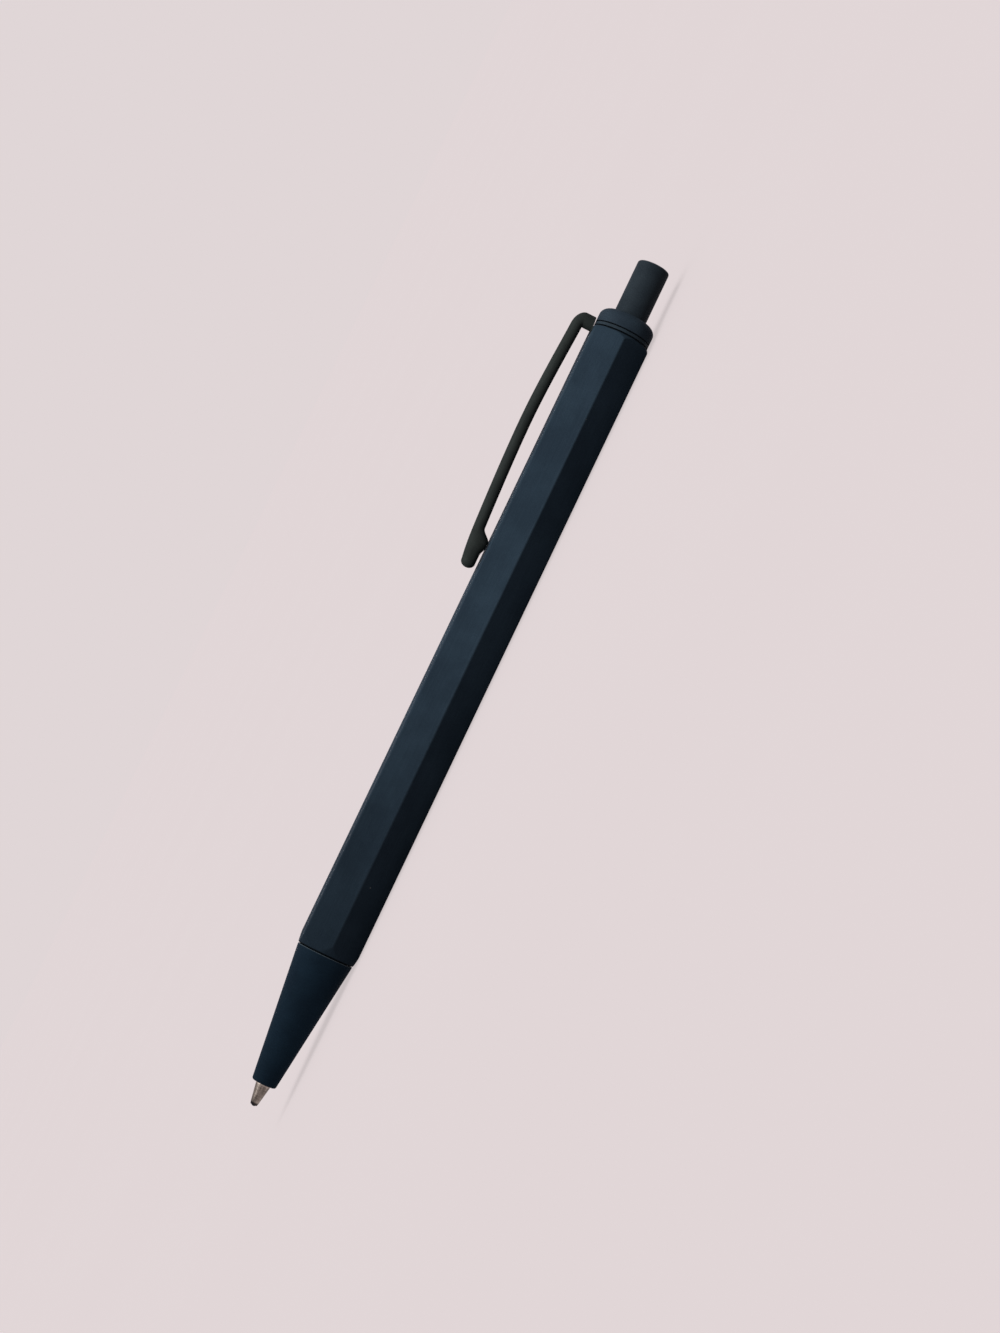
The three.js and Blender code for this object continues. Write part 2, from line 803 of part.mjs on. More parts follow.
// The pen is centred along X and stands on its lower flat.
const pen = new THREE.Group();
pen.add(outside, mechanism, writingUnit);
pen.position.set((buttonTop + ballEnd) / 2, 0, flatRadius);

export default pen;
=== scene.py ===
import math
import bpy
import numpy as np
from mathutils import Matrix, Vector


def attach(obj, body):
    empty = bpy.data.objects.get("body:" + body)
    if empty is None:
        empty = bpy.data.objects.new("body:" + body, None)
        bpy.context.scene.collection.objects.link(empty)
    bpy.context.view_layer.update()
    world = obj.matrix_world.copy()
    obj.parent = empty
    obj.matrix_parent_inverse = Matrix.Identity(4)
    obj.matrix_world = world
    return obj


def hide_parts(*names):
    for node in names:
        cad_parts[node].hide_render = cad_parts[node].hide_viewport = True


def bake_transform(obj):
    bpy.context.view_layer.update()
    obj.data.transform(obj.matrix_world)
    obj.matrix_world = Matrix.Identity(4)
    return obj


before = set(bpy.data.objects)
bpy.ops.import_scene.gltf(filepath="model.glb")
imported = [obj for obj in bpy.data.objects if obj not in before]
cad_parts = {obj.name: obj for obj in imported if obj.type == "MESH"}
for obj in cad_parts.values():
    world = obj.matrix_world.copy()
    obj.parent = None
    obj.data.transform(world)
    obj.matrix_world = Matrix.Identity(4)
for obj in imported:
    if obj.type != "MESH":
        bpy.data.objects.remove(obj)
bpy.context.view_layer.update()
print("frame loaded with", len(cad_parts), "nodes")

# A station is counted in millimetres from the barrel's top end toward the tip. Shapes are worked out
# in millimetres round the pen's axis and become metres in the frame when their mesh is made.
penFrame = {"zeroStation": 57.655, "axisHeight": 4.5}
millimetre = 0.001  # in metres
wholeTurn = 2 * np.pi


def toFrame(station, side, rise):
    # X is the zero station minus the station, Y is the side and Z is the axis height plus the rise, turned
    # from millimetres into metres.
    x, y, z = np.broadcast_arrays(penFrame["zeroStation"] - station, side, rise + penFrame["axisHeight"])
    return np.stack([x, y, z], axis=-1) * millimetre


def softStep(share):
    # 0 up to 0 and 1 from 1 on; between them, three times the share's square less twice its cube.
    share = np.clip(share, 0, 1)
    return share * share * (3 - 2 * share)


def gridMesh(name, points, wearAndShade, loop=False, sharpAngle=50):
    # points[i, j] is the surface at row i and column j. Columns close on themselves. Rows close too if it
    # is a loop; otherwise a fan from each end row to its mean point shuts the end. A negative signed volume
    # turns every face round. Each point keeps its wear and shade value, from -1 for painted seam shade to 1
    # for polish whose lighter tint is partly a painted sheen.
    rows, columns = points.shape[:2]
    i = np.arange(rows if loop else rows - 1)[:, None]
    j = np.arange(columns)[None, :]
    nextRow, nextColumn = (i + 1) % rows, (j + 1) % columns
    quads = np.stack([i * columns + j, i * columns + nextColumn,
                      nextRow * columns + nextColumn, nextRow * columns + j], axis=-1).reshape(-1, 4)
    vertices, marks = points.reshape(-1, 3), np.broadcast_to(wearAndShade, (rows, columns)).reshape(-1)
    fans = np.zeros((0, 3), int)
    if not loop:
        k, after, lastRow = np.arange(columns), (np.arange(columns) + 1) % columns, (rows - 1) * columns
        hub = np.full(columns, rows * columns)
        fans = np.concatenate([np.stack([after, k, hub], axis=-1),
                               np.stack([lastRow + k, lastRow + after, hub + 1], axis=-1)])
        vertices = np.concatenate([vertices, points[0].mean(axis=0)[None], points[-1].mean(axis=0)[None]])
        marks = np.concatenate([marks, [marks[0], marks[lastRow]]])
    triangles = np.concatenate([quads[:, [0, 1, 2]], quads[:, [0, 2, 3]], fans])
    corners = vertices[triangles]
    volume = np.einsum("ij,ij->i", corners[:, 0], np.cross(corners[:, 1], corners[:, 2])).sum()
    if volume < 0:
        quads, fans = quads[:, ::-1], fans[:, ::-1]
    mesh = bpy.data.meshes.new(name)
    mesh.from_pydata(vertices.tolist(), [], quads.tolist() + fans.tolist())
    mesh.attributes.new("wearAndShade", "FLOAT", "POINT").data.foreach_set("value", marks.astype(np.float32))
    mesh.shade_smooth()
    mesh.set_sharp_from_angle(angle=math.radians(sharpAngle))
    piece = bpy.data.objects.new(name, mesh)
    bpy.context.scene.collection.objects.link(piece)
    return piece


# How a rounded corner is drawn: the points on its curve, how many roundings from the corner the next point
# lies, and the share of the corner's wear and shade value that each point takes: above zero polish whose
# lighter tint is partly a painted sheen, below zero painted seam shade.
cornerLook = {"curvePoints": 7, "runOn": 1.5, "wearAndShadeShares": (0, 0.45, 0.8, 1, 1, 1, 0.8, 0.45, 0)}


def roundedProfile(corners):
    # Corners are [station, radius, rounding, wear and shade value]. A rounded corner becomes a quadratic
    # curve between two points at the rounding's distance along its sides, with one more point beyond each so
    # that the sides shade flat.
    corners = np.array(corners, float)
    spots, rounding, wornAndShaded = corners[:, :2], corners[:, 2], corners[:, 3]

    def toward(others):
        way = others - spots
        return way / np.maximum(np.linalg.norm(way, axis=1, keepdims=True), 1e-9)

    before = spots + rounding[:, None] * toward(np.roll(spots, 1, axis=0))
    after = spots + rounding[:, None] * toward(np.roll(spots, -1, axis=0))
    t = np.linspace(0, 1, cornerLook["curvePoints"])[None, :, None]
    bend = (1 - t) ** 2 * before[:, None] + 2 * t * (1 - t) * spots[:, None] + t ** 2 * after[:, None]
    lead, tail = (spots + cornerLook["runOn"] * (near - spots) for near in (before, after))
    points = np.concatenate([lead[:, None], bend, tail[:, None]], axis=1)
    weights = np.array(cornerLook["wearAndShadeShares"])[None] * wornAndShaded[:, None]
    kept = np.ones(points.shape[:2], bool)
    kept[rounding == 0, 1:] = False
    weights[rounding == 0, 0] = wornAndShaded[rounding == 0]
    return points[kept], weights[kept]


def quarterEllipse(start, end, steps=14):
    # Station goes with the sine and radius with the cosine of a quarter turn, so it leaves along the axis.
    turn = np.linspace(0, np.pi / 2, steps)
    return [[start[0] + (end[0] - start[0]) * s, end[1] + (start[1] - end[1]) * c, 0, 0]
            for s, c in zip(np.sin(turn), np.cos(turn))]


def threadCut(station, radius, angle, thread):
    # A groove that goes round once per pitch: depth times a rounded triangle wave of station over pitch minus
    # angle over a full turn, on points near the thread's radius, fading in and out over one pitch.
    phase = (station / thread["pitch"] - angle / wholeTurn) % 1
    wave = softStep(1 - np.abs(2 * phase - 1))
    inside = np.clip((station - thread["start"]) / thread["pitch"], 0, 1) * np.clip(
        (thread["end"] - station) / thread["pitch"], 0, 1)
    onThread = np.abs(radius - thread["radius"]) < 0.01  # a hundredth of a millimetre
    return radius - thread["depth"] * wave * inside * onThread


def turnedPiece(name, corners, columns=96, loop=True, thread=None, ears=None):
    # A profile of stations and radii turned about the axis: the side is the radius times the sine of the
    # angle and the rise is the radius times its cosine. A thread or a pair of ears changes the radius.
    profile, wornAndShaded = roundedProfile(corners)
    if thread or ears:
        ringed = np.concatenate([profile, profile[:1]])
        along = np.concatenate([[0], np.cumsum(np.linalg.norm(np.diff(ringed, axis=0), axis=1))])
        fine = np.union1d(along, np.arange(0, along[-1], (thread or ears)["step"]))[:-1]
        wornAndShaded = np.interp(fine, along, np.append(wornAndShaded, wornAndShaded[0]))
        profile = np.stack([np.interp(fine, along, ringed[:, k]) for k in (0, 1)], axis=-1)
    angle = np.arange(columns) * wholeTurn / columns
    station, radius = profile[:, :1], np.repeat(profile[:, 1:], columns, axis=1)
    if thread:
        radius = threadCut(station, radius, angle[None], thread)
    if ears:
        radius = earLift(station, radius, angle[None], ears)
    points = toFrame(station, radius * np.sin(angle), radius * np.cos(angle))
    return gridMesh(name, points, wornAndShaded[:, None], loop=loop)


def newGroup(name, numbers, outputs):
    # A node group that takes the place on the piece and the named numbers, and puts out the named numbers.
    group = bpy.data.node_groups.new(name, "ShaderNodeTree")
    group.interface.new_socket("Place", in_out="INPUT", socket_type="NodeSocketVector")
    for label, value in numbers.items():
        group.interface.new_socket(label, in_out="INPUT", socket_type="NodeSocketFloat").default_value = value
    for label in outputs:
        group.interface.new_socket(label, in_out="OUTPUT", socket_type="NodeSocketFloat")
    return group, group.nodes.new("NodeGroupInput").outputs, group.nodes.new("NodeGroupOutput").inputs


def put(tree, kind, settings=None, inputs=None):
    # A new node. An input that is another node's socket is linked, and any other is written on the socket.
    node = tree.nodes.new(kind)
    for key, value in (settings or {}).items():
        setattr(node, key, value)
    for key, value in (inputs or {}).items():
        if isinstance(value, bpy.types.NodeSocket):
            tree.links.new(value, node.inputs[key])
        else:
            node.inputs[key].default_value = value
    return node


def math2(tree, operation, first, second):
    # One number worked out from two others, in the way that the operation's name says.
    return put(tree, "ShaderNodeMath", {"operation": operation}, {0: first, 1: second}).outputs[0]


def times(tree, first, second):
    # The first number multiplied by the second.
    return math2(tree, "MULTIPLY", first, second)


def plus(tree, first, second):
    # The first number and the second added up.
    return math2(tree, "ADD", first, second)


def ramp(tree, value, fromLow, fromHigh, toLow=0.0, toHigh=1.0):
    # A smooth step from toLow to toHigh while the value goes from fromLow to fromHigh.
    values = {"Value": value, "From Min": fromLow, "From Max": fromHigh, "To Min": toLow, "To Max": toHigh}
    return put(tree, "ShaderNodeMapRange", {"interpolation_type": "SMOOTHSTEP"}, values).outputs[0]


def noise(tree, place, scale, detail=2.0, roughness=0.5):
    # Noise between 0 and 1, with as many of its largest features to a metre as the scale says.
    return put(tree, "ShaderNodeTexNoise", {"noise_dimensions": "3D"}, {
        "Vector": place, "Scale": scale, "Detail": detail, "Roughness": roughness}).outputs[0]


def perMetre(tree, size, count=1000.0):
    # The noise scale for features of a size in millimetres: the count in a metre over the size.
    return math2(tree, "DIVIDE", count, size)


def stretch(tree, place, along):
    # The place with its measure along the pen multiplied, so that a pattern gets shorter or longer there.
    return put(tree, "ShaderNodeMapping", inputs={"Vector": place, "Scale": (along, 1.0, 1.0)}).outputs[0]


def firstPart(tree, vector):
    # The first of a vector's three numbers, which for a place is its X along the pen, in metres.
    return put(tree, "ShaderNodeSeparateXYZ", inputs={0: vector}).outputs[0]


def blendColour(tree, factor, first, second):
    # The first colour where the factor is 0, the second where it is 1, and a mix of them between.
    node = put(tree, "ShaderNodeMix", {"data_type": "RGBA"}, {0: factor})
    for socket, value in ((node.inputs[6], first), (node.inputs[7], second)):
        if isinstance(value, bpy.types.NodeSocket):
            tree.links.new(value, socket)
        else:
            socket.default_value = value
    return node.outputs[2]


def makeCoatGrain():
    # Fine grain of a sprayed and baked coat, and broad clouds where it lies thicker. Its height is the grain
    # plus a share of an orange-peel swell a few times as broad. Sizes are in millimetres.
    group, given, out = newGroup("coatGrain", {"Grain Size": 0.09, "Cloud Size": 6.0},
                                 ("Grain", "Clouds", "Height"))
    place, peelPerMetre, peelShare = given["Place"], 300.0, 0.8
    grain = noise(group, place, perMetre(group, given["Grain Size"]), detail=3.0, roughness=0.6)
    cloud = noise(group, place, perMetre(group, given["Cloud Size"]), detail=3.0, roughness=0.55)
    group.links.new(ramp(group, grain, 0.3, 0.7), out["Grain"])
    group.links.new(ramp(group, cloud, 0.3, 0.7), out["Clouds"])
    peel = noise(group, place, perMetre(group, given["Grain Size"], peelPerMetre), detail=1.0, roughness=0.4)
    group.links.new(plus(group, grain, times(group, peel, peelShare)), out["Height"])
    return group


def makeEdgePolishSheen():
    # Where handling has polished the edges, whose lighter tint is partly a painted sheen: the mesh's wear and
    # shade value plus noise about zero, stepped from one minus the reach over a soft width.
    group, given, out = newGroup("edgePolishSheen", {"Wear": 0.0, "Reach": 0.5}, ("Mask",))
    breakUp, softWidth = 0.9, 0.45
    broken = times(group, noise(group, given["Place"], 900.0, detail=4.0, roughness=0.65), breakUp)
    value = plus(group, given["Wear"], math2(group, "SUBTRACT", broken, breakUp / 2))
    start = math2(group, "SUBTRACT", 1.0, given["Reach"])
    group.links.new(ramp(group, value, start, plus(group, start, softWidth)), out["Mask"])
    return group


def makeTurningMarks():
    # Rings left by a lathe tool: a sine of the place along the axis over the pitch, loosened by noise. Their
    # shade is noise squeezed along the axis, so that it too goes round the piece.
    group, given, out = newGroup("turningMarks", {"Pitch": 0.08}, ("Height", "Shade"))
    place, looseness, squeeze = given["Place"], 2.5, 9.0
    loose = times(group, noise(group, place, 700.0), looseness)
    turned = times(group, firstPart(group, place), 1000 * wholeTurn)
    turns = math2(group, "DIVIDE", turned, given["Pitch"])
    wave = put(group, "ShaderNodeMath", {"operation": "SINE"}, {0: plus(group, turns, loose)}).outputs[0]
    around = noise(group, stretch(group, place, squeeze), 900.0, detail=3.0)
    group.links.new(ramp(group, wave, -1.0, 1.0), out["Height"])
    group.links.new(ramp(group, around, 0.3, 0.7), out["Shade"])
    return group


def makeDrawnLines():
    # Faint lines along the pen from drawing the tube or wire: noise stretched out along X. Their height is
    # that noise times a patchy one, so that they come and go.
    group, given, out = newGroup("drawnLines", {"Line Width": 0.12}, ("Height", "Shade"))
    place, drawnOut = given["Place"], 0.012
    lines = noise(group, stretch(group, place, drawnOut), perMetre(group, given["Line Width"]),
                  detail=4.0, roughness=0.6)
    patchy = noise(group, place, 160.0)
    group.links.new(times(group, lines, patchy), out["Height"])
    group.links.new(ramp(group, lines, 0.35, 0.68), out["Shade"])
    return group


def makeDustSpecks():
    # Sparse specks of lint: small Voronoi cells, of which a random number under the share keeps a few.
    group, given, out = newGroup("dustSpecks", {"Spacing": 1.2, "Share": 0.1}, ("Mask",))
    cells = put(group, "ShaderNodeTexVoronoi", {"feature": "F1"}, {
        "Vector": given["Place"], "Scale": perMetre(group, given["Spacing"])}).outputs
    near = ramp(group, cells["Distance"], 0.04, 0.1, 1.0, 0.0)  # 1 at the cell's middle
    chosen = math2(group, "LESS_THAN", firstPart(group, cells["Color"]), given["Share"])
    group.links.new(times(group, near, chosen), out["Mask"])
    return group


coatGrain = makeCoatGrain()
edgePolishSheen = makeEdgePolishSheen()
turningMarks = makeTurningMarks()
drawnLines = makeDrawnLines()
dustSpecks = makeDustSpecks()


def useGroup(tree, group, inputs):
    # The group placed in a material, with its own values, and what it puts out.
    return put(tree, "ShaderNodeGroup", {"node_tree": group}, inputs).outputs


def srgb(red, green, blue):
    # A colour of three numbers up to 255 as the shader's light values: the sRGB curve, with its straight part
    # near black.
    light = [((c / 255 + 0.055) / 1.055) ** 2.4 if c > 10 else c / 255 / 12.92 for c in (red, green, blue)]
    return (*light, 1.0)


def newMaterial(name, constants):
    # An empty material with its shader, whose plain numbers go straight on the shader's own sockets.
    material = bpy.data.materials.new(name)
    material.use_nodes = True
    tree = material.node_tree
    tree.nodes.clear()
    shader = put(tree, "ShaderNodeBsdfPrincipled", inputs=constants)
    put(tree, "ShaderNodeOutputMaterial", inputs={"Surface": shader.outputs[0]})
    place = put(tree, "ShaderNodeTexCoord").outputs["Object"]
    wearAndShade = put(tree, "ShaderNodeAttribute", {"attribute_name": "wearAndShade"}).outputs["Fac"]
    return material, tree, shader, place, wearAndShade


def tintOver(tree, colour, mask, share, tint):
    # The colour with a share of a tint over it where the mask is 1.
    return blendColour(tree, times(tree, mask, share), colour, srgb(*tint))


def feedShader(tree, shader, colour, rough, strength, distance, height):
    # Links the colour, the roughness and a bump from the height to the shader. The distance is in
    # millimetres.
    bump = put(tree, "ShaderNodeBump", inputs={
        "Strength": strength, "Distance": distance * millimetre, "Height": height})
    for socket, value in (("Base Color", colour), ("Roughness", rough), ("Normal", bump.outputs[0])):
        tree.links.new(value, shader.inputs[socket])


# How each finish wears, the same on every piece that has it: shares of a tint, changes of roughness, and
# sizes in millimetres. The coat's seam shade is painted shade, near black, where the wear and shade value is
# below zero.
coatWear = {
    "polishAndSheenTint": 0.55, "polishRough": 0.16, "grainRough": 0.12, "underRough": 0.06, "bumpDistance": 0.03,
    # painted shade: near black at seams and ends, from the wear and shade values below zero
    "seamShadeFrom": 0.1, "seamShadeFull": 0.8, "seamShadeShare": 0.85, "seamShade": (7, 9, 12),
    "lintSpacing": 1.6, "lintTint": 0.5, "lintColour": (150, 152, 150),
}
metalWear = {
    "filmTint": 0.35, "reflectionStreakTint": 0.85, "polishReach": 0.55, "polishAndSheenTint": 0.5, "polishRough": 0.08,
    "filmRough": 0.12, "underRough": 0.06, "grainDepth": 0.4, "bumpDistance": 0.01,
    "inkRagged": 0.2, "inkTint": 0.9, "inkRough": 0.15, "ink": (18, 19, 26),
}
plasticWear = {
    "polishReach": 0.5, "polishAndSheenTint": 0.4, "grainRough": 0.1, "bumpDistance": 0.01,
    "lintSpacing": 1.4, "lintShare": 0.06, "lintTint": 0.4, "lintColour": (140, 140, 136),
}


def surfaceGroups(tree, place, wearAndShade, look, reach):
    # What all finishes share: the grain and clouds of the look's sizes, and the mask of polished edges.
    sizes = {"Grain Size": look["grain"], "Cloud Size": look["clouds"]}
    grain = useGroup(tree, coatGrain, {"Place": place, **sizes})
    return grain, useGroup(tree, edgePolishSheen, {"Place": place, "Wear": wearAndShade, "Reach": reach})["Mask"]


def coatedFinish(name, look):
    # Matte coat on metal: two tints by the clouds, darker grain, polished edges whose lighter tint is partly
    # a painted sheen, painted shade near black at seams and ends, and specks of lint. The grain, and the
    # lines or rings under the coat, drive its roughness and bump.
    material, tree, shader, place, wearAndShade = newMaterial(name, {
        "Metallic": 0.0, "Specular IOR Level": look["specular"], "Coat Weight": 0.0})
    grain, polishAndSheen = surfaceGroups(tree, place, wearAndShade, look, look["edgeReach"])
    specks = useGroup(tree, dustSpecks, {
        "Place": place, "Spacing": coatWear["lintSpacing"], "Share": look["lint"]})["Mask"]
    under = useGroup(tree, turningMarks if look["turned"] else drawnLines, {"Place": place})
    colour = blendColour(tree, grain["Clouds"], srgb(*look["deep"]), srgb(*look["pale"]))
    colour = tintOver(tree, colour, grain["Grain"], look["grainTint"], look["dark"])
    colour = tintOver(tree, colour, under["Shade"], look["underTint"], look["dark"])
    # edges lightened toward the edge colour: wear, partly a painted sheen
    colour = tintOver(tree, colour, polishAndSheen, coatWear["polishAndSheenTint"], look["edge"])
    # painted seam shade: near black where the wear and shade value is below zero
    seamShade = ramp(tree, times(tree, wearAndShade, -1.0), coatWear["seamShadeFrom"], coatWear["seamShadeFull"], 0.0,
                coatWear["seamShadeShare"])
    colour = blendColour(tree, seamShade, colour, srgb(*coatWear["seamShade"]))
    colour = tintOver(tree, colour, specks, coatWear["lintTint"], coatWear["lintColour"])
    rough = plus(tree, look["rough"], times(tree, grain["Grain"], coatWear["grainRough"]))
    rough = plus(tree, rough, times(tree, under["Shade"], coatWear["underRough"]))
    rough = math2(tree, "SUBTRACT", rough, times(tree, polishAndSheen, coatWear["polishRough"]))
    height = plus(tree, grain["Height"], times(tree, under["Height"], look["underDepth"]))
    feedShader(tree, shader, colour, rough, look["bump"], coatWear["bumpDistance"], height)
    return material


def bareMetal(name, look):
    # Bare metal: tint and roughness by the tool's rings or the drawing lines, a dull film in clouds, painted
    # reflections as long streaks and an ink stain where the look has them, and brighter polished edges,
    # partly a painted sheen.
    material, tree, shader, place, wearAndShade = newMaterial(name, {"Metallic": 1.0})
    grain, polishAndSheen = surfaceGroups(tree, place, wearAndShade, look, metalWear["polishReach"])
    under = useGroup(tree, turningMarks if look["turned"] else drawnLines, {"Place": place})
    colour = blendColour(tree, under["Shade"], srgb(*look["deep"]), srgb(*look["pale"]))
    colour = tintOver(tree, colour, grain["Clouds"], metalWear["filmTint"], look["film"])
    # painted reflections: long dark streaks along the piece
    if "reflectionStreaks" in look:
        reflectionStreaks = useGroup(tree, drawnLines, {"Place": place, "Line Width": look["reflectionStreaks"]})["Shade"]
        colour = tintOver(tree, colour, reflectionStreaks, metalWear["reflectionStreakTint"], look["reflectionStreak"])
    # edges lightened toward the pale tint: polish, partly a painted sheen
    colour = tintOver(tree, colour, polishAndSheen, metalWear["polishAndSheenTint"], look["pale"])
    rough = plus(tree, look["rough"], times(tree, grain["Clouds"], metalWear["filmRough"]))
    rough = plus(tree, rough, times(tree, under["Shade"], metalWear["underRough"]))
    rough = math2(tree, "SUBTRACT", rough, times(tree, polishAndSheen, metalWear["polishRough"]))
    if "inkFrom" in look:
        ragged = times(tree, noise(tree, place, 3000.0), metalWear["inkRagged"] * millimetre)
        inkFrom, inkFull = toFrame(np.array([look["inkFrom"], look["inkFull"]]), 0.0, 0.0)[:, 0]
        inky = ramp(tree, plus(tree, firstPart(tree, place), ragged), inkFrom, inkFull)
        colour = tintOver(tree, colour, inky, metalWear["inkTint"], metalWear["ink"])
        rough = plus(tree, rough, times(tree, inky, metalWear["inkRough"]))
    height = plus(tree, under["Height"], times(tree, grain["Height"], metalWear["grainDepth"]))
    feedShader(tree, shader, colour, rough, look["bump"], metalWear["bumpDistance"], height)
    return material


def mouldedPlastic(name, look):
    # Moulded plastic: faint flow clouds in the tint, a spark-eroded mould's fine grain, and specks of lint.
    material, tree, shader, place, wearAndShade = newMaterial(name, {
        "Metallic": 0.0, "Specular IOR Level": look["specular"], "Transmission Weight": 0.0})
    grain, polishAndSheen = surfaceGroups(tree, place, wearAndShade, look, plasticWear["polishReach"])
    specks = useGroup(tree, dustSpecks, {
        "Place": place, "Spacing": plasticWear["lintSpacing"], "Share": plasticWear["lintShare"]})["Mask"]
    colour = blendColour(tree, grain["Clouds"], srgb(*look["deep"]), srgb(*look["pale"]))
    # edges lightened toward the pale tint: wear, partly a painted sheen
    colour = tintOver(tree, colour, polishAndSheen, plasticWear["polishAndSheenTint"], look["pale"])
    colour = tintOver(tree, colour, specks, plasticWear["lintTint"], plasticWear["lintColour"])
    rough = plus(tree, look["rough"], times(tree, grain["Grain"], plasticWear["grainRough"]))
    feedShader(tree, shader, colour, rough, look["bump"], plasticWear["bumpDistance"], grain["Height"])
    return material


def finishPiece(piece, material, body, node):
    # Gives the piece its one material, hides the node that it replaces, and sets it on its body when it has
    # one.
    piece.data.materials.clear()
    piece.data.materials.append(material)
    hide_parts(node)
    if body:
        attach(piece, body)
    print("made", piece.name, "with", len(piece.data.polygons), "faces")


# Each piece has one dictionary: its sizes and stations in millimetres, then its finish, with colours out of
# 255. The barrel's bevels are in degrees.
barrelLook = {
    "flat": 4.5, "edgeRadius": 0.35, "bore": 3.9, "length": 102.98, "endRadius": 4.45,
    "topBevel": 42.0, "noseBevel": 24.0, "topBlend": 0.16, "noseBlend": 0.25, "rim": 0.04,
    "lip": 0.05, "straight": (3.0, 99.0), "notchHalf": 1.05, "notchDepth": 1.48,
    # the edge, top, nose and crease widths place polish whose lighter tint is partly a painted sheen
    "edgeWear": 0.28, "topWear": 0.16, "noseWear": 0.25, "creaseWear": 0.8, "creaseRise": 0.25,
    # painted shade near black, within this width of each end where the barrel meets the cap and the nose
    "seamShadeReach": 0.16,
    "deep": (42, 56, 68), "pale": (50, 66, 79), "dark": (18, 28, 38), "grainTint": 0.35, "underTint": 0.14,
    "edge": (50, 65, 77), "edgeReach": 0.5, "lint": 0.03, "specular": 0.02, "rough": 0.58, "grain": 0.09,
    "clouds": 7.0, "turned": False, "underDepth": 0.8, "bump": 0.35,
}


def edgeCircleCentre(look):
    # How far from the axis an edge's own circle is centred: the flat's distance less the circle's radius,
    # over the cosine of a twelfth of a turn.
    return (look["flat"] - look["edgeRadius"]) / math.cos(math.pi / 6)


def sixSidedRadius(angle, look):
    # On a flat, its distance over the cosine of the angle from its middle; near an edge, the far side of the
    # edge's own circle. Also gives the angle from the nearest edge.
    offFlat = np.abs((angle + np.pi / 6) % (np.pi / 3) - np.pi / 6)
    offEdge = np.pi / 6 - offFlat
    centre = edgeCircleCentre(look)
    tangent = math.atan((look["flat"] - look["edgeRadius"]) * math.tan(math.pi / 6) / look["flat"])
    onEdge = centre * np.cos(offEdge) + np.sqrt(
        np.maximum(look["edgeRadius"] ** 2 - (centre * np.sin(offEdge)) ** 2, 0))
    return np.where(offFlat < tangent, look["flat"] / np.cos(offFlat), onEdge), offEdge


def barrelColumns(look):
    # Angles round the barrel, worked out in degrees and given in radians: even steps over each flat that
    # close up toward its edges, even turns of each edge's circle, and over the clip's flat the notch's own
    # columns, evenly turned round its bottom.
    normal = np.radians(np.linspace(-30, 30, 9))
    overEdge = np.degrees(np.arctan2(look["edgeRadius"] * np.sin(normal),
                                     edgeCircleCentre(look) + look["edgeRadius"] * np.cos(normal)))
    overFlat = np.array([0, 5, 10, 15, 20, 24, 26.6, 27.7])
    sector = np.concatenate([overFlat, 30 + overEdge, 60 - overFlat[:0:-1]])
    angles = (sector[None] + 60 * np.arange(6)[:, None]).reshape(-1)
    angles = (angles + 180) % 360 - 180
    notchEdge, justBeside = math.degrees(math.atan(look["notchHalf"] / look["flat"])), 0.04
    angles = angles[np.abs(angles) > notchEdge + 1]
    bottomTurn = np.radians(np.linspace(-90, 90, 21))
    inNotch = np.degrees(np.arctan(look["notchHalf"] * np.sin(bottomTurn) / look["flat"]))
    beside = np.array([-notchEdge - justBeside, notchEdge + justBeside])
    return np.radians(np.sort(np.concatenate([angles, inNotch, beside])))


def keepApart(rows, way):
    # Moves each row on, way 1 up or way -1 down the stations, to at least the least step past the row before.
    leastStep = 0.004
    for k in range(1, len(rows)):
        rows[k] = way * np.maximum(way * rows[k], way * rows[k - 1] + leastStep)
    return rows


def softKink(distance, blend):
    # 0 before a kink and the distance past it, with a parabola that joins them within the blend.
    curved = (distance + blend) ** 2 / (4 * blend)
    return np.where(distance > blend, distance, np.where(distance > -blend, curved, 0.0))


def bell(distance, width):
    # 1 at no distance, falling off as e to minus the square of the distance over the width.
    return np.exp(-(distance / width) ** 2)


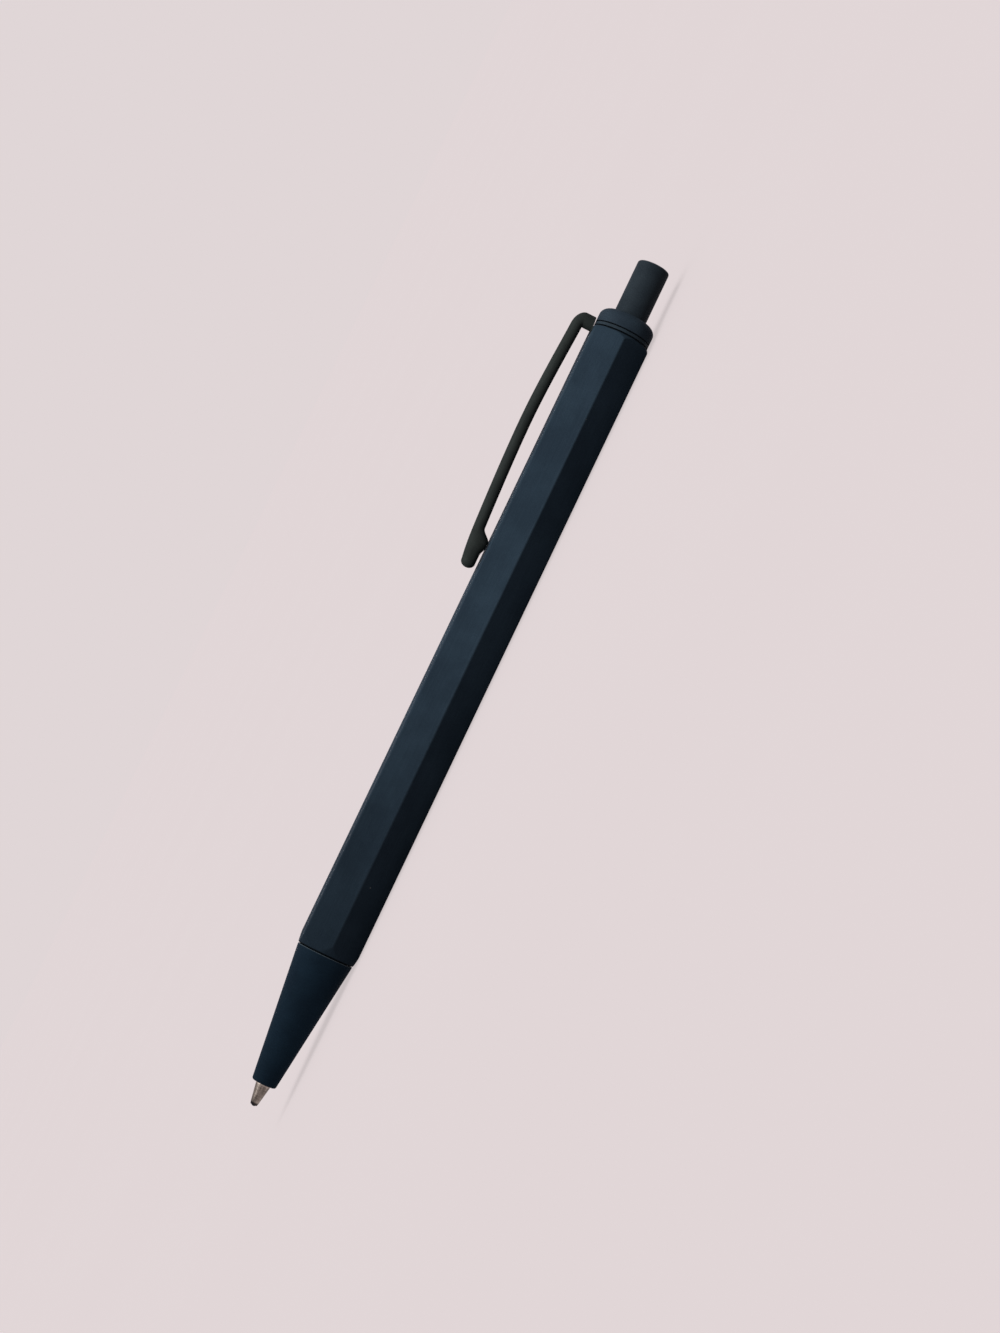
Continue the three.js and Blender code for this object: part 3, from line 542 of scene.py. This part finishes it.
def makeBarrel(look):
    # Each column is a line down the barrel. Its radius is the six-sided radius less, past each end's crease,
    # the bevel's slope times the distance beyond it. Rows follow the rim, the creases and the notch's bottom,
    # then come back up the bore, and the last row meets the first.
    angle = barrelColumns(look)
    full, offEdge = sixSidedRadius(angle, look)
    side = look["flat"] * np.tan(angle)
    over = (np.abs(side) <= look["notchHalf"] + 1e-6) & (np.abs(angle) < 1)
    roundBottom = np.sqrt(np.maximum(look["notchHalf"] ** 2 - side ** 2, 0))
    bottom = look["notchDepth"] - look["notchHalf"] + roundBottom
    top, end, rim = np.where(over, bottom, 0.0), look["length"], look["rim"]
    topSlope, noseSlope = (math.tan(math.radians(look[key])) for key in ("topBevel", "noseBevel"))
    topCrease = (full - look["endRadius"]) / topSlope
    noseCrease = end - (full - look["endRadius"]) / noseSlope
    mostBlend = 0.6  # of the bevel's own length, so that the crease stays clear of the rim
    topBlend = np.minimum(look["topBlend"], mostBlend * topCrease)
    noseBlend = np.minimum(look["noseBlend"], mostBlend * (end - noseCrease))
    fromRim = np.append(rim * np.array([0, 0.3, 0.65, 1.0]), [0.1, 0.16, 0.24])
    across = np.linspace(-1, 1, 7)
    upper = [top + s for s in fromRim] + [topCrease + topBlend * s for s in across]
    lower = [end - s + 0 * angle for s in fromRim] + [noseCrease - noseBlend * s for s in across]
    middle = [np.full_like(angle, s) for s in np.linspace(*look["straight"], 25)]
    station = np.stack(keepApart(upper, 1) + middle + keepApart(lower, -1)[::-1])
    radius = full - topSlope * softKink(topCrease - station, topBlend)
    radius = radius - noseSlope * softKink(station - noseCrease, noseBlend)
    toEnd = np.minimum(station - top, end - station)
    inset = rim - np.sqrt(np.maximum(rim ** 2 - np.maximum(rim - toEnd, 0) ** 2, 0))
    # polished edges and creases, lighter partly as a painted sheen
    onEdge = bell(offEdge * full, look["edgeWear"]) * (station > topCrease) * (station < noseCrease)
    onCrease = bell(station - topCrease, look["topWear"]) + bell(station - noseCrease, look["noseWear"])
    onCrease = look["creaseWear"] * onCrease * softStep((full - look["flat"]) / look["creaseRise"])
    # painted shade at both ends, where the barrel meets the cap and the nose
    seamShaded = bell(toEnd, look["seamShadeReach"])
    wearAndShade = np.maximum(onEdge, onCrease) * (1 - seamShaded) - seamShaded
    outer = toFrame(station, (radius - inset) * np.sin(angle), (radius - inset) * np.cos(angle))
    # the bore's columns keep the notch's walls parallel, less and less from 14 to 26 degrees off its middle
    steerEnd, steerOver = 26, 12
    steer = softStep((steerEnd - np.degrees(np.abs(angle))) / steerOver)
    boreAngle = angle + steer * (np.arcsin(np.clip(full * np.sin(angle) / look["bore"], -1, 1)) - angle)
    lip, bore = look["lip"], look["bore"]
    lipRows = [(0, bore + lip), (0.3 * lip, bore + 0.3 * lip), (lip, bore)]
    inner = [(end - s, r) for s, r in lipRows]
    inner += [(end - lip - (end - lip - top - lip) * s, bore) for s in np.linspace(0.02, 0.98, 20)]
    inner += [(top + s, r) for s, r in lipRows[::-1]]
    back = np.stack([toFrame(s, r * np.sin(boreAngle), r * np.cos(boreAngle)) for s, r in inner])
    wearAndShade = np.concatenate([wearAndShade, np.zeros(back.shape[:2])])
    return gridMesh("barrelTube", np.concatenate([outer, back]), wearAndShade, loop=True, sharpAngle=55)


finishPiece(makeBarrel(barrelLook), coatedFinish("barrelCoat", barrelLook),
            "barrel", "barrel")


capLook = {
    "seat": -0.74, "shoulder": -2.04, "top": -3.34, "outer": 4.45, "spigot": 3.2, "spigotEnd": 6.0,
    "hole": 2.725, "brow": 0.2,
    "deep": (43, 55, 66), "pale": (52, 66, 77), "dark": (20, 28, 36), "grainTint": 0.35, "underTint": 0.14,
    "edge": (64, 78, 88), "edgeReach": 0.45, "lint": 0.03, "specular": 0.05, "rough": 0.58, "grain": 0.09,
    "clouds": 5.0, "turned": True, "underDepth": 0.5, "bump": 0.35,
}
washerLook = {
    "start": -0.62, "end": -0.12, "outer": 4.45, "bore": 3.35,
    "deep": (44, 56, 65), "pale": (53, 66, 75), "dark": (20, 28, 34), "grainTint": 0.3, "underTint": 0.2,
    "edge": (66, 79, 87), "edgeReach": 0.35, "lint": 0.0, "specular": 0.06, "rough": 0.52, "grain": 0.08,
    "clouds": 2.5, "turned": True, "underDepth": 0.8, "bump": 0.3,
}


def makeCap(look):
    # A collar with a spigot below. Its shoulder is a quarter of an ellipse, up to a small brow that leads
    # over into the button's hole.
    corners = [[look["spigotEnd"], look["spigot"], 0.12, 0.3], [look["seat"], look["spigot"], 0.03, 0],
               # the seat's outer corner takes painted shade at the seam with the washer
               [look["seat"], look["outer"], 0.06, -0.9]]
    corners += quarterEllipse([look["shoulder"], look["outer"]], [look["top"], look["hole"] + look["brow"]])
    corners += [[look["top"] + 0.06, look["hole"] + 0.07, 0, 1.0],
                [look["top"] + look["brow"], look["hole"], 0, 0.4],
                [look["spigotEnd"], look["hole"], 0.1, 0.2]]
    return turnedPiece("endCollar", corners, columns=128)


def ringPiece(name, look, outside, inside, **turning):
    # A plain ring from one end to the other, between its outer radius and its bore. Outside and inside are
    # the rounding and the wear of its corners there.
    ends = (look["start"], look["end"])
    corners = [[s, look["outer"], *outside] for s in ends] + [[s, look["bore"], *inside] for s in ends[::-1]]
    return turnedPiece(name, corners, **turning)


finishPiece(makeCap(capLook), coatedFinish("capCoat", capLook), "barrel", "end_cap")
# its outer corners take painted shade at the seams with the cap and the barrel
seamWasher = ringPiece("seamWasher", washerLook, (0.07, -0.6), (0.05, 0.3), columns=128)
finishPiece(seamWasher, coatedFinish("washerSteel", washerLook), "barrel", "clip_washer")


buttonLook = {
    "top": -12.39, "radius": 2.575, "round": 0.42, "dome": 0.2, "skirtEnd": 5.0, "wallTop": -11.19,
    "hollow": 2.0,
    "deep": (39, 48, 55), "pale": (48, 58, 65), "dark": (18, 24, 30), "grainTint": 0.35, "underTint": 0.14,
    "edge": (60, 71, 79), "edgeReach": 0.5, "lint": 0.04, "specular": 0.055, "rough": 0.54, "grain": 0.09,
    "clouds": 4.0, "turned": True, "underDepth": 0.5, "bump": 0.3,
}


def makeButton(look):
    # A cup: a crown that falls by the square of the distance to the axis, a rounded edge, straight sides, and
    # a hollow for the plunger.
    crown = look["radius"] - look["round"]
    share = np.linspace(0.06, 1, 9)
    corners = [[look["top"] + look["dome"] * s ** 2, crown * s, 0, 0] for s in share]
    turn = np.linspace(0, np.pi / 2, 10)[1:]
    corners += [[look["top"] + look["dome"] + look["round"] * (1 - math.cos(t)),
                 crown + look["round"] * math.sin(t), 0, math.sin(2 * t)] for t in turn]
    corners += [[look["skirtEnd"], look["radius"], 0.1, 0.5], [look["skirtEnd"], look["hollow"], 0.08, 0.2],
                [look["wallTop"], look["hollow"], 0.1, 0], [look["wallTop"], 0.12, 0, 0]]
    return turnedPiece("pushButton", corners, columns=96, loop=False)


finishPiece(makeButton(buttonLook), coatedFinish("buttonCoat", buttonLook),
            "button", "push_button")


clipLook = {
    "wire": 0.9, "stubTop": 0.15, "foot": -1.05, "backReach": 1.2, "throat": 1.18, "bendHeight": 1.6,
    "bendInside": 0.25, "rootHeight": 2.42, "crest": (17.0, 3.06), "pad": (35.3, 2.43), "tail": (41.8, 1.75),
    "contact": (37.15, 37.75), "padBack": 39.3, "contactGap": 0.1, "tailGap": 0.55, "spreadFrom": 0.05,
    "spreadOver": 0.11, "bumpWear": 0.5, "tailWear": 0.9, "tailShare": 0.7, "around": 36,
    "deep": (44, 49, 48), "pale": (53, 59, 57), "dark": (20, 23, 23), "grainTint": 0.35, "underTint": 0.16,
    "edge": (62, 67, 67), "edgeReach": 0.5, "lint": 0.03, "specular": 0.06, "rough": 0.56, "grain": 0.08,
    "clouds": 4.0, "turned": False, "underDepth": 0.8, "bump": 0.4,
}


def smoothThrough(points, samples=600):
    # A curve through the points: each span is the cubic whose slope at a point is half the step between that
    # point's neighbours.
    points = np.array(points, float)
    padded = np.concatenate([points[:1], points, points[-1:]])
    t = np.linspace(0, len(points) - 1, samples)
    k = np.minimum(t.astype(int), len(points) - 2)
    w = (t - k)[:, None]
    a, b, c, d = padded[k], padded[k + 1], padded[k + 2], padded[k + 3]
    return b + 0.5 * w * (c - a + w * (2 * a - 5 * b + 4 * c - d + w * (3 * (b - c) + d - a)))


def makeClip(look):
    # A wire whose rings are ellipses between an inner and an outer edge, given as stations and heights over
    # the flat: up the stub, a quarter turn through the bend, along the arch, over the pad's bump, and in to a
    # round end.
    wire, bendFrom = look["wire"], look["bendHeight"]
    start = look["throat"] + look["bendInside"]
    padFrom, (touch, leave), tail = look["pad"][0], look["contact"], look["tail"][0]
    arch = smoothThrough([[start, look["rootHeight"]], look["crest"], look["pad"], look["tail"]])

    def arm(station):
        return np.interp(station, arch[:, 0], arch[:, 1])

    # the stub: the foot's end is rounded, and the outer edge spreads back over the cap by a sine of the rise
    rise = look["foot"] + np.array(
        [0, 0.03, 0.1, 0.55, 1.0, 1.1, 1.13, 1.16, 1.2, 1.24, 1.29, 1.35, 1.6, 2.1])
    spread = np.sin(np.clip((rise - look["spreadFrom"]) / look["spreadOver"], 0, 1) * np.pi / 2)
    foot = np.array([0.1, 0.04] + [0] * 12)
    stubBack = look["stubTop"] + foot - (look["stubTop"] + look["backReach"]) * spread
    inner = [np.stack([look["throat"] - foot, rise], axis=-1)]
    outer = [np.stack([stubBack, rise], axis=-1)]
    half = [wire - foot]
    # the bend: the cosine of the turn sweeps each edge forward and its sine lifts it
    turn = np.radians(np.linspace(0, 90, 22))[:, None]
    for edges, sweep, top in ((inner, look["bendInside"], look["rootHeight"] - wire),
                              (outer, start + look["backReach"], look["rootHeight"] + wire)):
        lifted = bendFrom + (top - bendFrom) * np.sin(turn)
        edges.append(np.concatenate([start - sweep * np.cos(turn), lifted], axis=1))
    half.append(np.full(22, wire))
    # the arm and the pad: the inner edge falls to the contact's gap and lifts to the tail's
    station = np.concatenate([np.linspace(start, padFrom, 60)[1:], np.linspace(padFrom, tail - wire, 44)[1:]])
    under = arm(station) - wire
    fall = softStep((station - padFrom) / (touch - padFrom))
    lift = softStep((station - leave) / (look["padBack"] - leave))
    under = np.where(station < leave, under + (look["contactGap"] - under) * fall,
                     look["contactGap"] + (look["tailGap"] - look["contactGap"]) * lift)
    inner.append(np.stack([station, under], axis=-1))
    outer.append(np.stack([station, arm(station) + wire], axis=-1))
    half.append(np.full(len(station), wire))
    # the end: the edges draw together as the sine of the turn runs out the last half width
    close = np.radians(np.linspace(0, 86, 12)[1:])
    low, high = look["tailGap"], arm(tail - wire) + wire
    draw = (1 - np.cos(close)) / 2
    tip = tail - wire * (1 - np.sin(close))
    inner.append(np.stack([tip, low + (high - low) * draw], axis=-1))
    outer.append(np.stack([tip, high + (low - high) * draw], axis=-1))
    half.append(wire * np.cos(close))
    inner, outer, half = np.concatenate(inner), np.concatenate(outer), np.concatenate(half)
    angle = np.arange(look["around"]) * wholeTurn / look["around"]
    share = (1 + np.cos(angle)) / 2
    edge = inner[:, None] + (outer - inner)[:, None] * share[None, :, None]
    points = toFrame(edge[..., 0], half[:, None] * np.sin(angle), barrelLook["flat"] + edge[..., 1])
    onBump = bell(edge[..., 0] - np.mean(look["contact"]), look["bumpWear"]) * (1 - share)
    onTail = look["tailShare"] * softStep((edge[..., 0] - tail + look["tailWear"]) / look["tailWear"])
    return gridMesh("wireClip", points, np.maximum(onBump, onTail), sharpAngle=60)


finishPiece(makeClip(clipLook), coatedFinish("clipCoat", clipLook), "clip", "clip_arm")


noseLook = {
    "spigotStart": 96.8, "shoulder": 103.1, "end": 124.15, "spigot": 3.1, "outer": 4.45, "mouthRadius": 1.95,
    "edgeRound": 0.4, "mouth": 1.27, "mouthTop": 119.55, "guide": 1.65, "springSeat": 113.31, "bore": 2.4,
    "thread": {"pitch": 0.75, "start": 97.1, "end": 102.1, "radius": 3.1, "depth": 0.26, "step": 0.09},
    "deep": (32, 50, 65), "pale": (38, 60, 77), "dark": (15, 27, 38), "grainTint": 0.35, "underTint": 0.14,
    # the edge colour, far paler than the coat, is a painted highlight: a bright line on the shoulder's rim at
    # the seam
    "edge": (122, 138, 146), "edgeReach": 0.5, "lint": 0.03, "specular": 0.03, "rough": 0.58, "grain": 0.09,
    "clouds": 6.0, "turned": True, "underDepth": 0.5, "bump": 0.32,
}
bushLook = {
    "start": 95.685, "end": 102.785, "outer": 3.75, "bore": 3.25,
    "thread": {"pitch": 0.75, "start": 95.86, "end": 102.66, "radius": 3.25, "depth": -0.22, "step": 0.09},
    "deep": (170, 138, 74), "pale": (205, 176, 112), "film": (132, 104, 58), "rough": 0.3, "grain": 0.08,
    "clouds": 2.5, "turned": True, "bump": 0.35,
}


def makeNose(look):
    # A cone from the shoulder to the mouth with a rounded end, bored for the spring, the refill and its tip,
    # and a threaded spigot behind the shoulder.
    corners = [[look["spigotStart"], look["spigot"], 0.2, 0.5], [look["shoulder"], look["spigot"], 0.05, 0],
               # the shoulder's corner takes full wear, which draws that painted highlight along the seam with
               # the barrel
               [look["shoulder"], look["outer"], 0.15, 1.0]]
    corners += quarterEllipse([look["end"] - look["edgeRound"], look["mouthRadius"]],
                              [look["end"], look["mouthRadius"] - look["edgeRound"]], 10)
    corners += [[look["end"], look["mouth"], 0.04, 0.3], [look["mouthTop"], look["mouth"], 0.03, 0],
                [look["mouthTop"] - look["guide"] + look["mouth"], look["guide"], 0.03, 0],
                [look["springSeat"], look["guide"], 0.05, 0], [look["springSeat"], look["bore"], 0.05, 0],
                [look["spigotStart"], look["bore"], 0.1, 0.3]]
    return turnedPiece("noseCone", corners, columns=112, thread=look["thread"])


finishPiece(makeNose(noseLook), coatedFinish("noseCoat", noseLook), "nose", "nose_cone")
threadBush = ringPiece("threadBush", bushLook, (0.12, 0.5), (0.1, 0.4), columns=96, thread=bushLook["thread"])
finishPiece(threadBush, bareMetal("bushBrass", bushLook), "barrel", "thread_insert")


refillLook = {
    "start": 21.5, "end": 117.4, "outer": 1.5, "bore": 1.15,
    "ears": {"start": 93.41, "peak": 94.87, "end": 95.61, "lift": 0.8, "half": 0.36, "step": 0.25},
    "deep": (206, 212, 214), "pale": (232, 236, 237), "rough": 0.3, "grain": 0.1, "clouds": 9.0,
    "specular": 0.45, "bump": 0.12,
}
tipLook = {
    "tubeFace": 117.52, "insert": 6.0, "insertRadius": 1.0, "collar": 1.4, "collarLength": 0.6, "body": 1.15,
    "coneTop": 124.3, "end": 127.5, "lipLength": 0.42, "lipWidth": 0.17, "lipEdge": 0.05, "ball": 127.2,
    "socket": 0.56, "feed": 0.3,
    "deep": (142, 133, 124), "pale": (184, 174, 164), "film": (84, 78, 72), "rough": 0.2, "grain": 0.06,
    # painted reflection: long dark streaks along the cone, with their width and colour
    "clouds": 1.2, "turned": True, "bump": 0.08, "reflectionStreaks": 0.85, "reflectionStreak": (52, 47, 43),
    "inkFrom": 126.855, "inkFull": 127.205,
}
ballLook = {
    "centre": 127.2, "radius": 0.5, "rings": 34, "around": 48,
    "deep": (16, 16, 18), "pale": (36, 36, 38), "film": (12, 13, 16), "rough": 0.16, "grain": 0.05,
    "clouds": 0.5, "turned": False, "bump": 0.15,
}


def earLift(station, radius, angle, ears):
    # Two ears pinched out of the wall: a slow rise and a quick fall along the tube, times e to minus the
    # fourth power of the angle off the ear's middle over its half width, both in radians.
    rising = softStep((station - ears["start"]) / (ears["peak"] - ears["start"]))
    falling = softStep((ears["end"] - station) / (ears["end"] - ears["peak"]))
    along = np.where(station < ears["peak"], rising, falling)
    off = (angle + np.pi / 2) % np.pi - np.pi / 2
    around = np.exp(-(off / ears["half"]) ** 4)
    onWall = radius > refillLook["outer"] - 0.05  # the bore stays round
    return radius + ears["lift"] * along * around * onWall


def makeTip(look):
    # An insert, a collar, a straight body and a cone, ending in a lip spun over the ball. The ball's socket
    # and the ink feed are bored through it.
    face, collarEnd = look["tubeFace"], look["tubeFace"] + look["collarLength"]
    back = face - look["insert"]
    turn = np.linspace(math.pi - math.acos((look["end"] - look["ball"]) / look["socket"]),
                       math.asin(look["feed"] / look["socket"]), 14)
    lip = look["socket"] * math.sin(turn[0])
    corners = [[back, look["insertRadius"], 0.08, 0.3], [face, look["insertRadius"], 0.03, 0],
               [face, look["collar"], 0.06, 0.8], [collarEnd, look["collar"], 0.1, 0.8],
               [collarEnd, look["body"], 0.04, 0], [look["coneTop"], look["body"], 0.12, 0.8],
               [look["end"] - look["lipLength"], lip + look["lipWidth"], 0.05, 0.4],
               [look["end"], lip + look["lipEdge"], 0.03, 1.0]]
    corners += [[look["ball"] - look["socket"] * math.cos(t), look["socket"] * math.sin(t), 0, 0]
                for t in turn]
    corners += [[back, look["feed"], 0.05, 0]]
    return turnedPiece("refillTip", corners, columns=72)


def makeBall(look):
    # A sphere: the station goes with the cosine and the radius with the sine of half a turn.
    turn = np.linspace(0, np.pi, look["rings"])[1:-1, None]
    angle = np.arange(look["around"]) * wholeTurn / look["around"]
    station, radius = look["centre"] - look["radius"] * np.cos(turn), look["radius"] * np.sin(turn)
    points = toFrame(station, radius * np.sin(angle), radius * np.cos(angle))
    return gridMesh("writingBall", points, np.zeros((1, 1)))


refillTube = ringPiece("refillTube", refillLook, (0.08, 0.6), (0.05, 0.2), columns=72,
                       ears=refillLook["ears"])
finishPiece(refillTube, mouldedPlastic("refillPlastic", refillLook),
            "refill", "refill_tube")
finishPiece(makeTip(tipLook), bareMetal("tipMetal", tipLook), "refill", "refill_tip")
finishPiece(makeBall(ballLook), bareMetal("ballMetal", ballLook), "ball", "writing_ball")


springLook = {
    "rear": 95.909, "length": 17.4, "wire": 0.2, "mean": 2.0, "turns": 13, "endPitch": 0.95, "steps": 40,
    "around": 14,
    "deep": (150, 153, 156), "pale": (205, 208, 210), "film": (142, 144, 146), "rough": 0.24, "grain": 0.06,
    "clouds": 1.5, "turned": False, "bump": 0.2,
}


def unit(ways):
    # Each way over its own length.
    return ways / np.linalg.norm(ways, axis=-1, keepdims=True)


def makeSpring(look):
    # A tube along a helix whose curls lie closer near its ends: the station goes with the share of the wire
    # less a sine of it, and each end runs straight on for one wire diameter.
    room = look["length"] - 2 * look["wire"]
    lean = (room - look["endPitch"] * look["turns"]) / room
    share = np.linspace(0, 1, look["turns"] * look["steps"] + 1)
    station = look["rear"] + look["wire"] + room * (share - lean * np.sin(wholeTurn * share) / wholeTurn)
    angle = wholeTurn * look["turns"] * share
    line = np.stack([station, look["mean"] * np.sin(angle), look["mean"] * np.cos(angle)], axis=-1)

    def runOut(last, beforeLast):
        beyond = last + unit(last - beforeLast) * (2 * look["wire"])
        beyond[0] = last[0]  # stays level with the last curl
        return beyond[None]

    line = np.concatenate([runOut(line[0], line[1]), line, runOut(line[-1], line[-2])])
    along = unit(np.gradient(line, axis=0))
    across = unit(np.cross(along, line * [0, 1, 1]))
    square = np.cross(across, along)
    turn = np.arange(look["around"]) * wholeTurn / look["around"]
    ring = square[:, None] * np.cos(turn)[None, :, None] + across[:, None] * np.sin(turn)[None, :, None]
    tube = line[:, None] + look["wire"] * ring
    return gridMesh("returnSpring", toFrame(*np.moveaxis(tube, -1, 0)), np.zeros((1, 1)), sharpAngle=60)


spring = makeSpring(springLook)
finishPiece(spring, bareMetal("springSteel", springLook), None, "return_spring")
tuple(toFrame(np.array(springLook["rear"] + springLook["length"]), 0.0, 0.0))
tuple(toFrame(np.array(springLook["rear"]), 0.0, 0.0))
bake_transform(spring)


whitePlastic = {"deep": (196, 198, 198), "pale": (222, 224, 224), "rough": 0.4, "grain": 0.1, "clouds": 3.0,
                "specular": 0.4, "bump": 0.15}
innerLooks = {
    "mechanism_tube": dict(bushLook, clouds=5.0, turned=False),
    "cam_sleeve": whitePlastic,
    "thrust_plunger": dict(whitePlastic, deep=(34, 78, 142), pale=(48, 98, 168), rough=0.36),
    "ink_column": {"deep": (12, 14, 22), "pale": (20, 23, 34), "rough": 0.18, "grain": 0.3, "clouds": 2.0,
                   "specular": 0.5, "bump": 0.1},
    "cam_rotor": dict(whitePlastic, deep=(204, 202, 196), pale=(228, 226, 220)),
    "refill_plug": dict(whitePlastic, deep=(180, 188, 192), pale=(210, 216, 220)),
}

for node, look in innerLooks.items():
    made = (bareMetal if "film" in look else mouldedPlastic)(node + "Finish", look)
    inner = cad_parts[node]
    if not inner.material_slots:
        inner.data.materials.append(made)
    for slot in inner.material_slots:
        slot.material = made
print("dressed", len(innerLooks), "inner pieces")


# The room's lengths are in metres, its floor's grain and clouds in millimetres, and its angles in degrees.
roomLook = {
    "pale": (224, 214, 215), "dim": 0.5, "floorGlow": 0.5, "glowStrength": 1.5, "floorReach": 6.0,
    "floorDrop": 0.00002, "floorGrain": 1.2, "floorClouds": 120.0, "cloudTint": 0.05,
    "sky": 0.30, "key": 0.95, "keySoft": 55.0, "keyFrom": (0.0, -0.18, 0.98),
    "spot": 4.6, "spotAt": (0.045, -0.261, 0.371), "spotAim": (0.045, 0.0, 0.0045), "spotCone": 21.4,
    "spotBlend": 0.75, "spotSoft": 0.03, "fill": 1.7, "fillSoft": 25.0, "fillFrom": (0.0, 0.98, 0.17),
}


def paleOrDim(tree):
    # 1 for camera, glossy and transmission rays, 0 for diffuse ones.
    rays = put(tree, "ShaderNodeLightPath").outputs
    seen = math2(tree, "MAXIMUM", rays["Is Camera Ray"], rays["Is Glossy Ray"])
    return math2(tree, "MAXIMUM", seen, rays["Is Transmission Ray"])


def makeFloor(look):
    # A square of pale paper just under the pen. Rays that are seen get its full colour and a share of its own
    # glow, and the light that it throws back on the pen is dimmed.
    reach, drop = look["floorReach"], -look["floorDrop"]
    corners = [(-reach, -reach, drop), (reach, -reach, drop), (reach, reach, drop), (-reach, reach, drop)]
    mesh = bpy.data.meshes.new("floor")
    mesh.from_pydata(corners, [], [(0, 1, 2, 3)])
    floor = bpy.data.objects.new("floor", mesh)
    bpy.context.scene.collection.objects.link(floor)
    material = bpy.data.materials.new("palePaper")
    material.use_nodes = True
    tree = material.node_tree
    tree.nodes.clear()
    pale, white = srgb(*look["pale"]), (1, 1, 1, 1)
    dim = (*(look["dim"] * c for c in pale[:3]), 1.0)
    place = put(tree, "ShaderNodeTexCoord").outputs["Object"]
    clouds = useGroup(tree, coatGrain, {
        "Place": place, "Grain Size": look["floorGrain"], "Cloud Size": look["floorClouds"]})["Clouds"]
    tint = blendColour(tree, times(tree, clouds, look["cloudTint"]), pale, white)
    colour = blendColour(tree, paleOrDim(tree), dim, tint)
    paper = put(tree, "ShaderNodeBsdfDiffuse", inputs={"Color": colour})
    shine = put(tree, "ShaderNodeEmission", inputs={"Color": pale, "Strength": look["glowStrength"]})
    share = times(tree, paleOrDim(tree), look["floorGlow"])
    both = put(tree, "ShaderNodeMixShader", inputs={0: share, 1: paper.outputs[0], 2: shine.outputs[0]})
    put(tree, "ShaderNodeOutputMaterial", inputs={"Surface": both.outputs[0]})
    mesh.materials.append(material)
    return floor


def makeSky(look):
    # A pale room all round: full strength where it is seen, and the sky's own low strength where it lights.
    world = bpy.data.worlds.new("paleRoom")
    world.use_nodes = True
    tree = world.node_tree
    tree.nodes.clear()
    pale = srgb(*look["pale"])
    lit, seen = (put(tree, "ShaderNodeBackground", inputs={"Color": pale, "Strength": strength}).outputs[0]
                 for strength in (look["sky"], 1.0))
    both = put(tree, "ShaderNodeMixShader", inputs={0: paleOrDim(tree), 1: lit, 2: seen})
    put(tree, "ShaderNodeOutputWorld", inputs={"Surface": both.outputs[0]})
    bpy.context.scene.world = world


def addLamp(name, kind, energy, at, aim=(0, 0, 0)):
    # A lamp of one kind that looks along the line from its place to its aim.
    lamp = bpy.data.objects.new(name, bpy.data.lights.new(name, kind))
    lamp.data.energy = energy
    lamp.location = at
    lamp.rotation_euler = (Vector(at) - Vector(aim)).to_track_quat("Z", "Y").to_euler()
    bpy.context.scene.collection.objects.link(lamp)
    return lamp


def makeLights(look, floor):
    # A soft sun lights everything evenly. A spot lamp with a soft rim adds the brighter upper two thirds of
    # the pen, and a second sun fills the pen's back. These two leave the floor out, so that it stays even.
    key = addLamp("softKey", "SUN", look["key"], look["keyFrom"])
    key.data.angle = math.radians(look["keySoft"])
    fill = addLamp("backFill", "SUN", look["fill"], look["fillFrom"])
    fill.data.angle = math.radians(look["fillSoft"])
    fill.visible_glossy = False  # a shine from behind would draw a bright line along the upper edge
    spot = addLamp("upperSpot", "SPOT", look["spot"], look["spotAt"], look["spotAim"])
    spot.data.spot_size = math.radians(look["spotCone"])
    spot.data.spot_blend = look["spotBlend"]
    spot.data.shadow_soft_size = look["spotSoft"]
    leftOut = bpy.data.collections.new("leftOutOfLamps")
    leftOut.objects.link(floor)
    for lamp in (spot, fill):
        lamp.light_linking.receiver_collection = leftOut
    leftOut.collection_objects[0].light_linking.link_state = "EXCLUDE"


# Where the camera stands: angles in degrees, and the rest in millimetres.
viewLook = {"middle": 0.225, "distance": 400.0, "turn": 4.73, "rise": 6.444, "roll": 25.508, "aside": 6.392,
            "above": 1.798, "lens": 71.95, "sensor": 36.0, "nearest": 10.0}


def makeCamera(look):
    # The camera looks back along the line that the turn and the rise give, at the pen's middle. It is turned
    # about that line by the roll, and moved aside and up in its own picture plane.
    turn, rise, roll = (math.radians(look[key]) for key in ("turn", "rise", "roll"))
    back = Vector((-math.sin(turn), -math.cos(turn) * math.cos(rise), math.cos(turn) * math.sin(rise)))
    level = (Vector((1, 0, 0)) - back * back.x).normalized()
    up = math.cos(roll) * level + math.sin(roll) * back.cross(level)
    right = up.cross(back)
    middle = Vector((look["middle"], 0, penFrame["axisHeight"]))
    spot = middle + back * look["distance"] + right * look["aside"] + up * look["above"]
    camera = bpy.data.objects.new("penCamera", bpy.data.cameras.new("penCamera"))
    camera.data.lens = look["lens"]
    camera.data.sensor_width = look["sensor"]
    camera.data.clip_start = look["nearest"] * millimetre
    stand = Matrix.Translation(spot * millimetre)
    camera.matrix_world = stand @ Matrix((right, up, back)).transposed().to_4x4()
    bpy.context.scene.collection.objects.link(camera)
    bpy.context.scene.camera = camera


paleFloor = makeFloor(roomLook)
makeSky(roomLook)
makeLights(roomLook, paleFloor)
makeCamera(viewLook)
bpy.context.scene.view_settings.view_transform = "Standard"
print("floor, light and camera are in place")
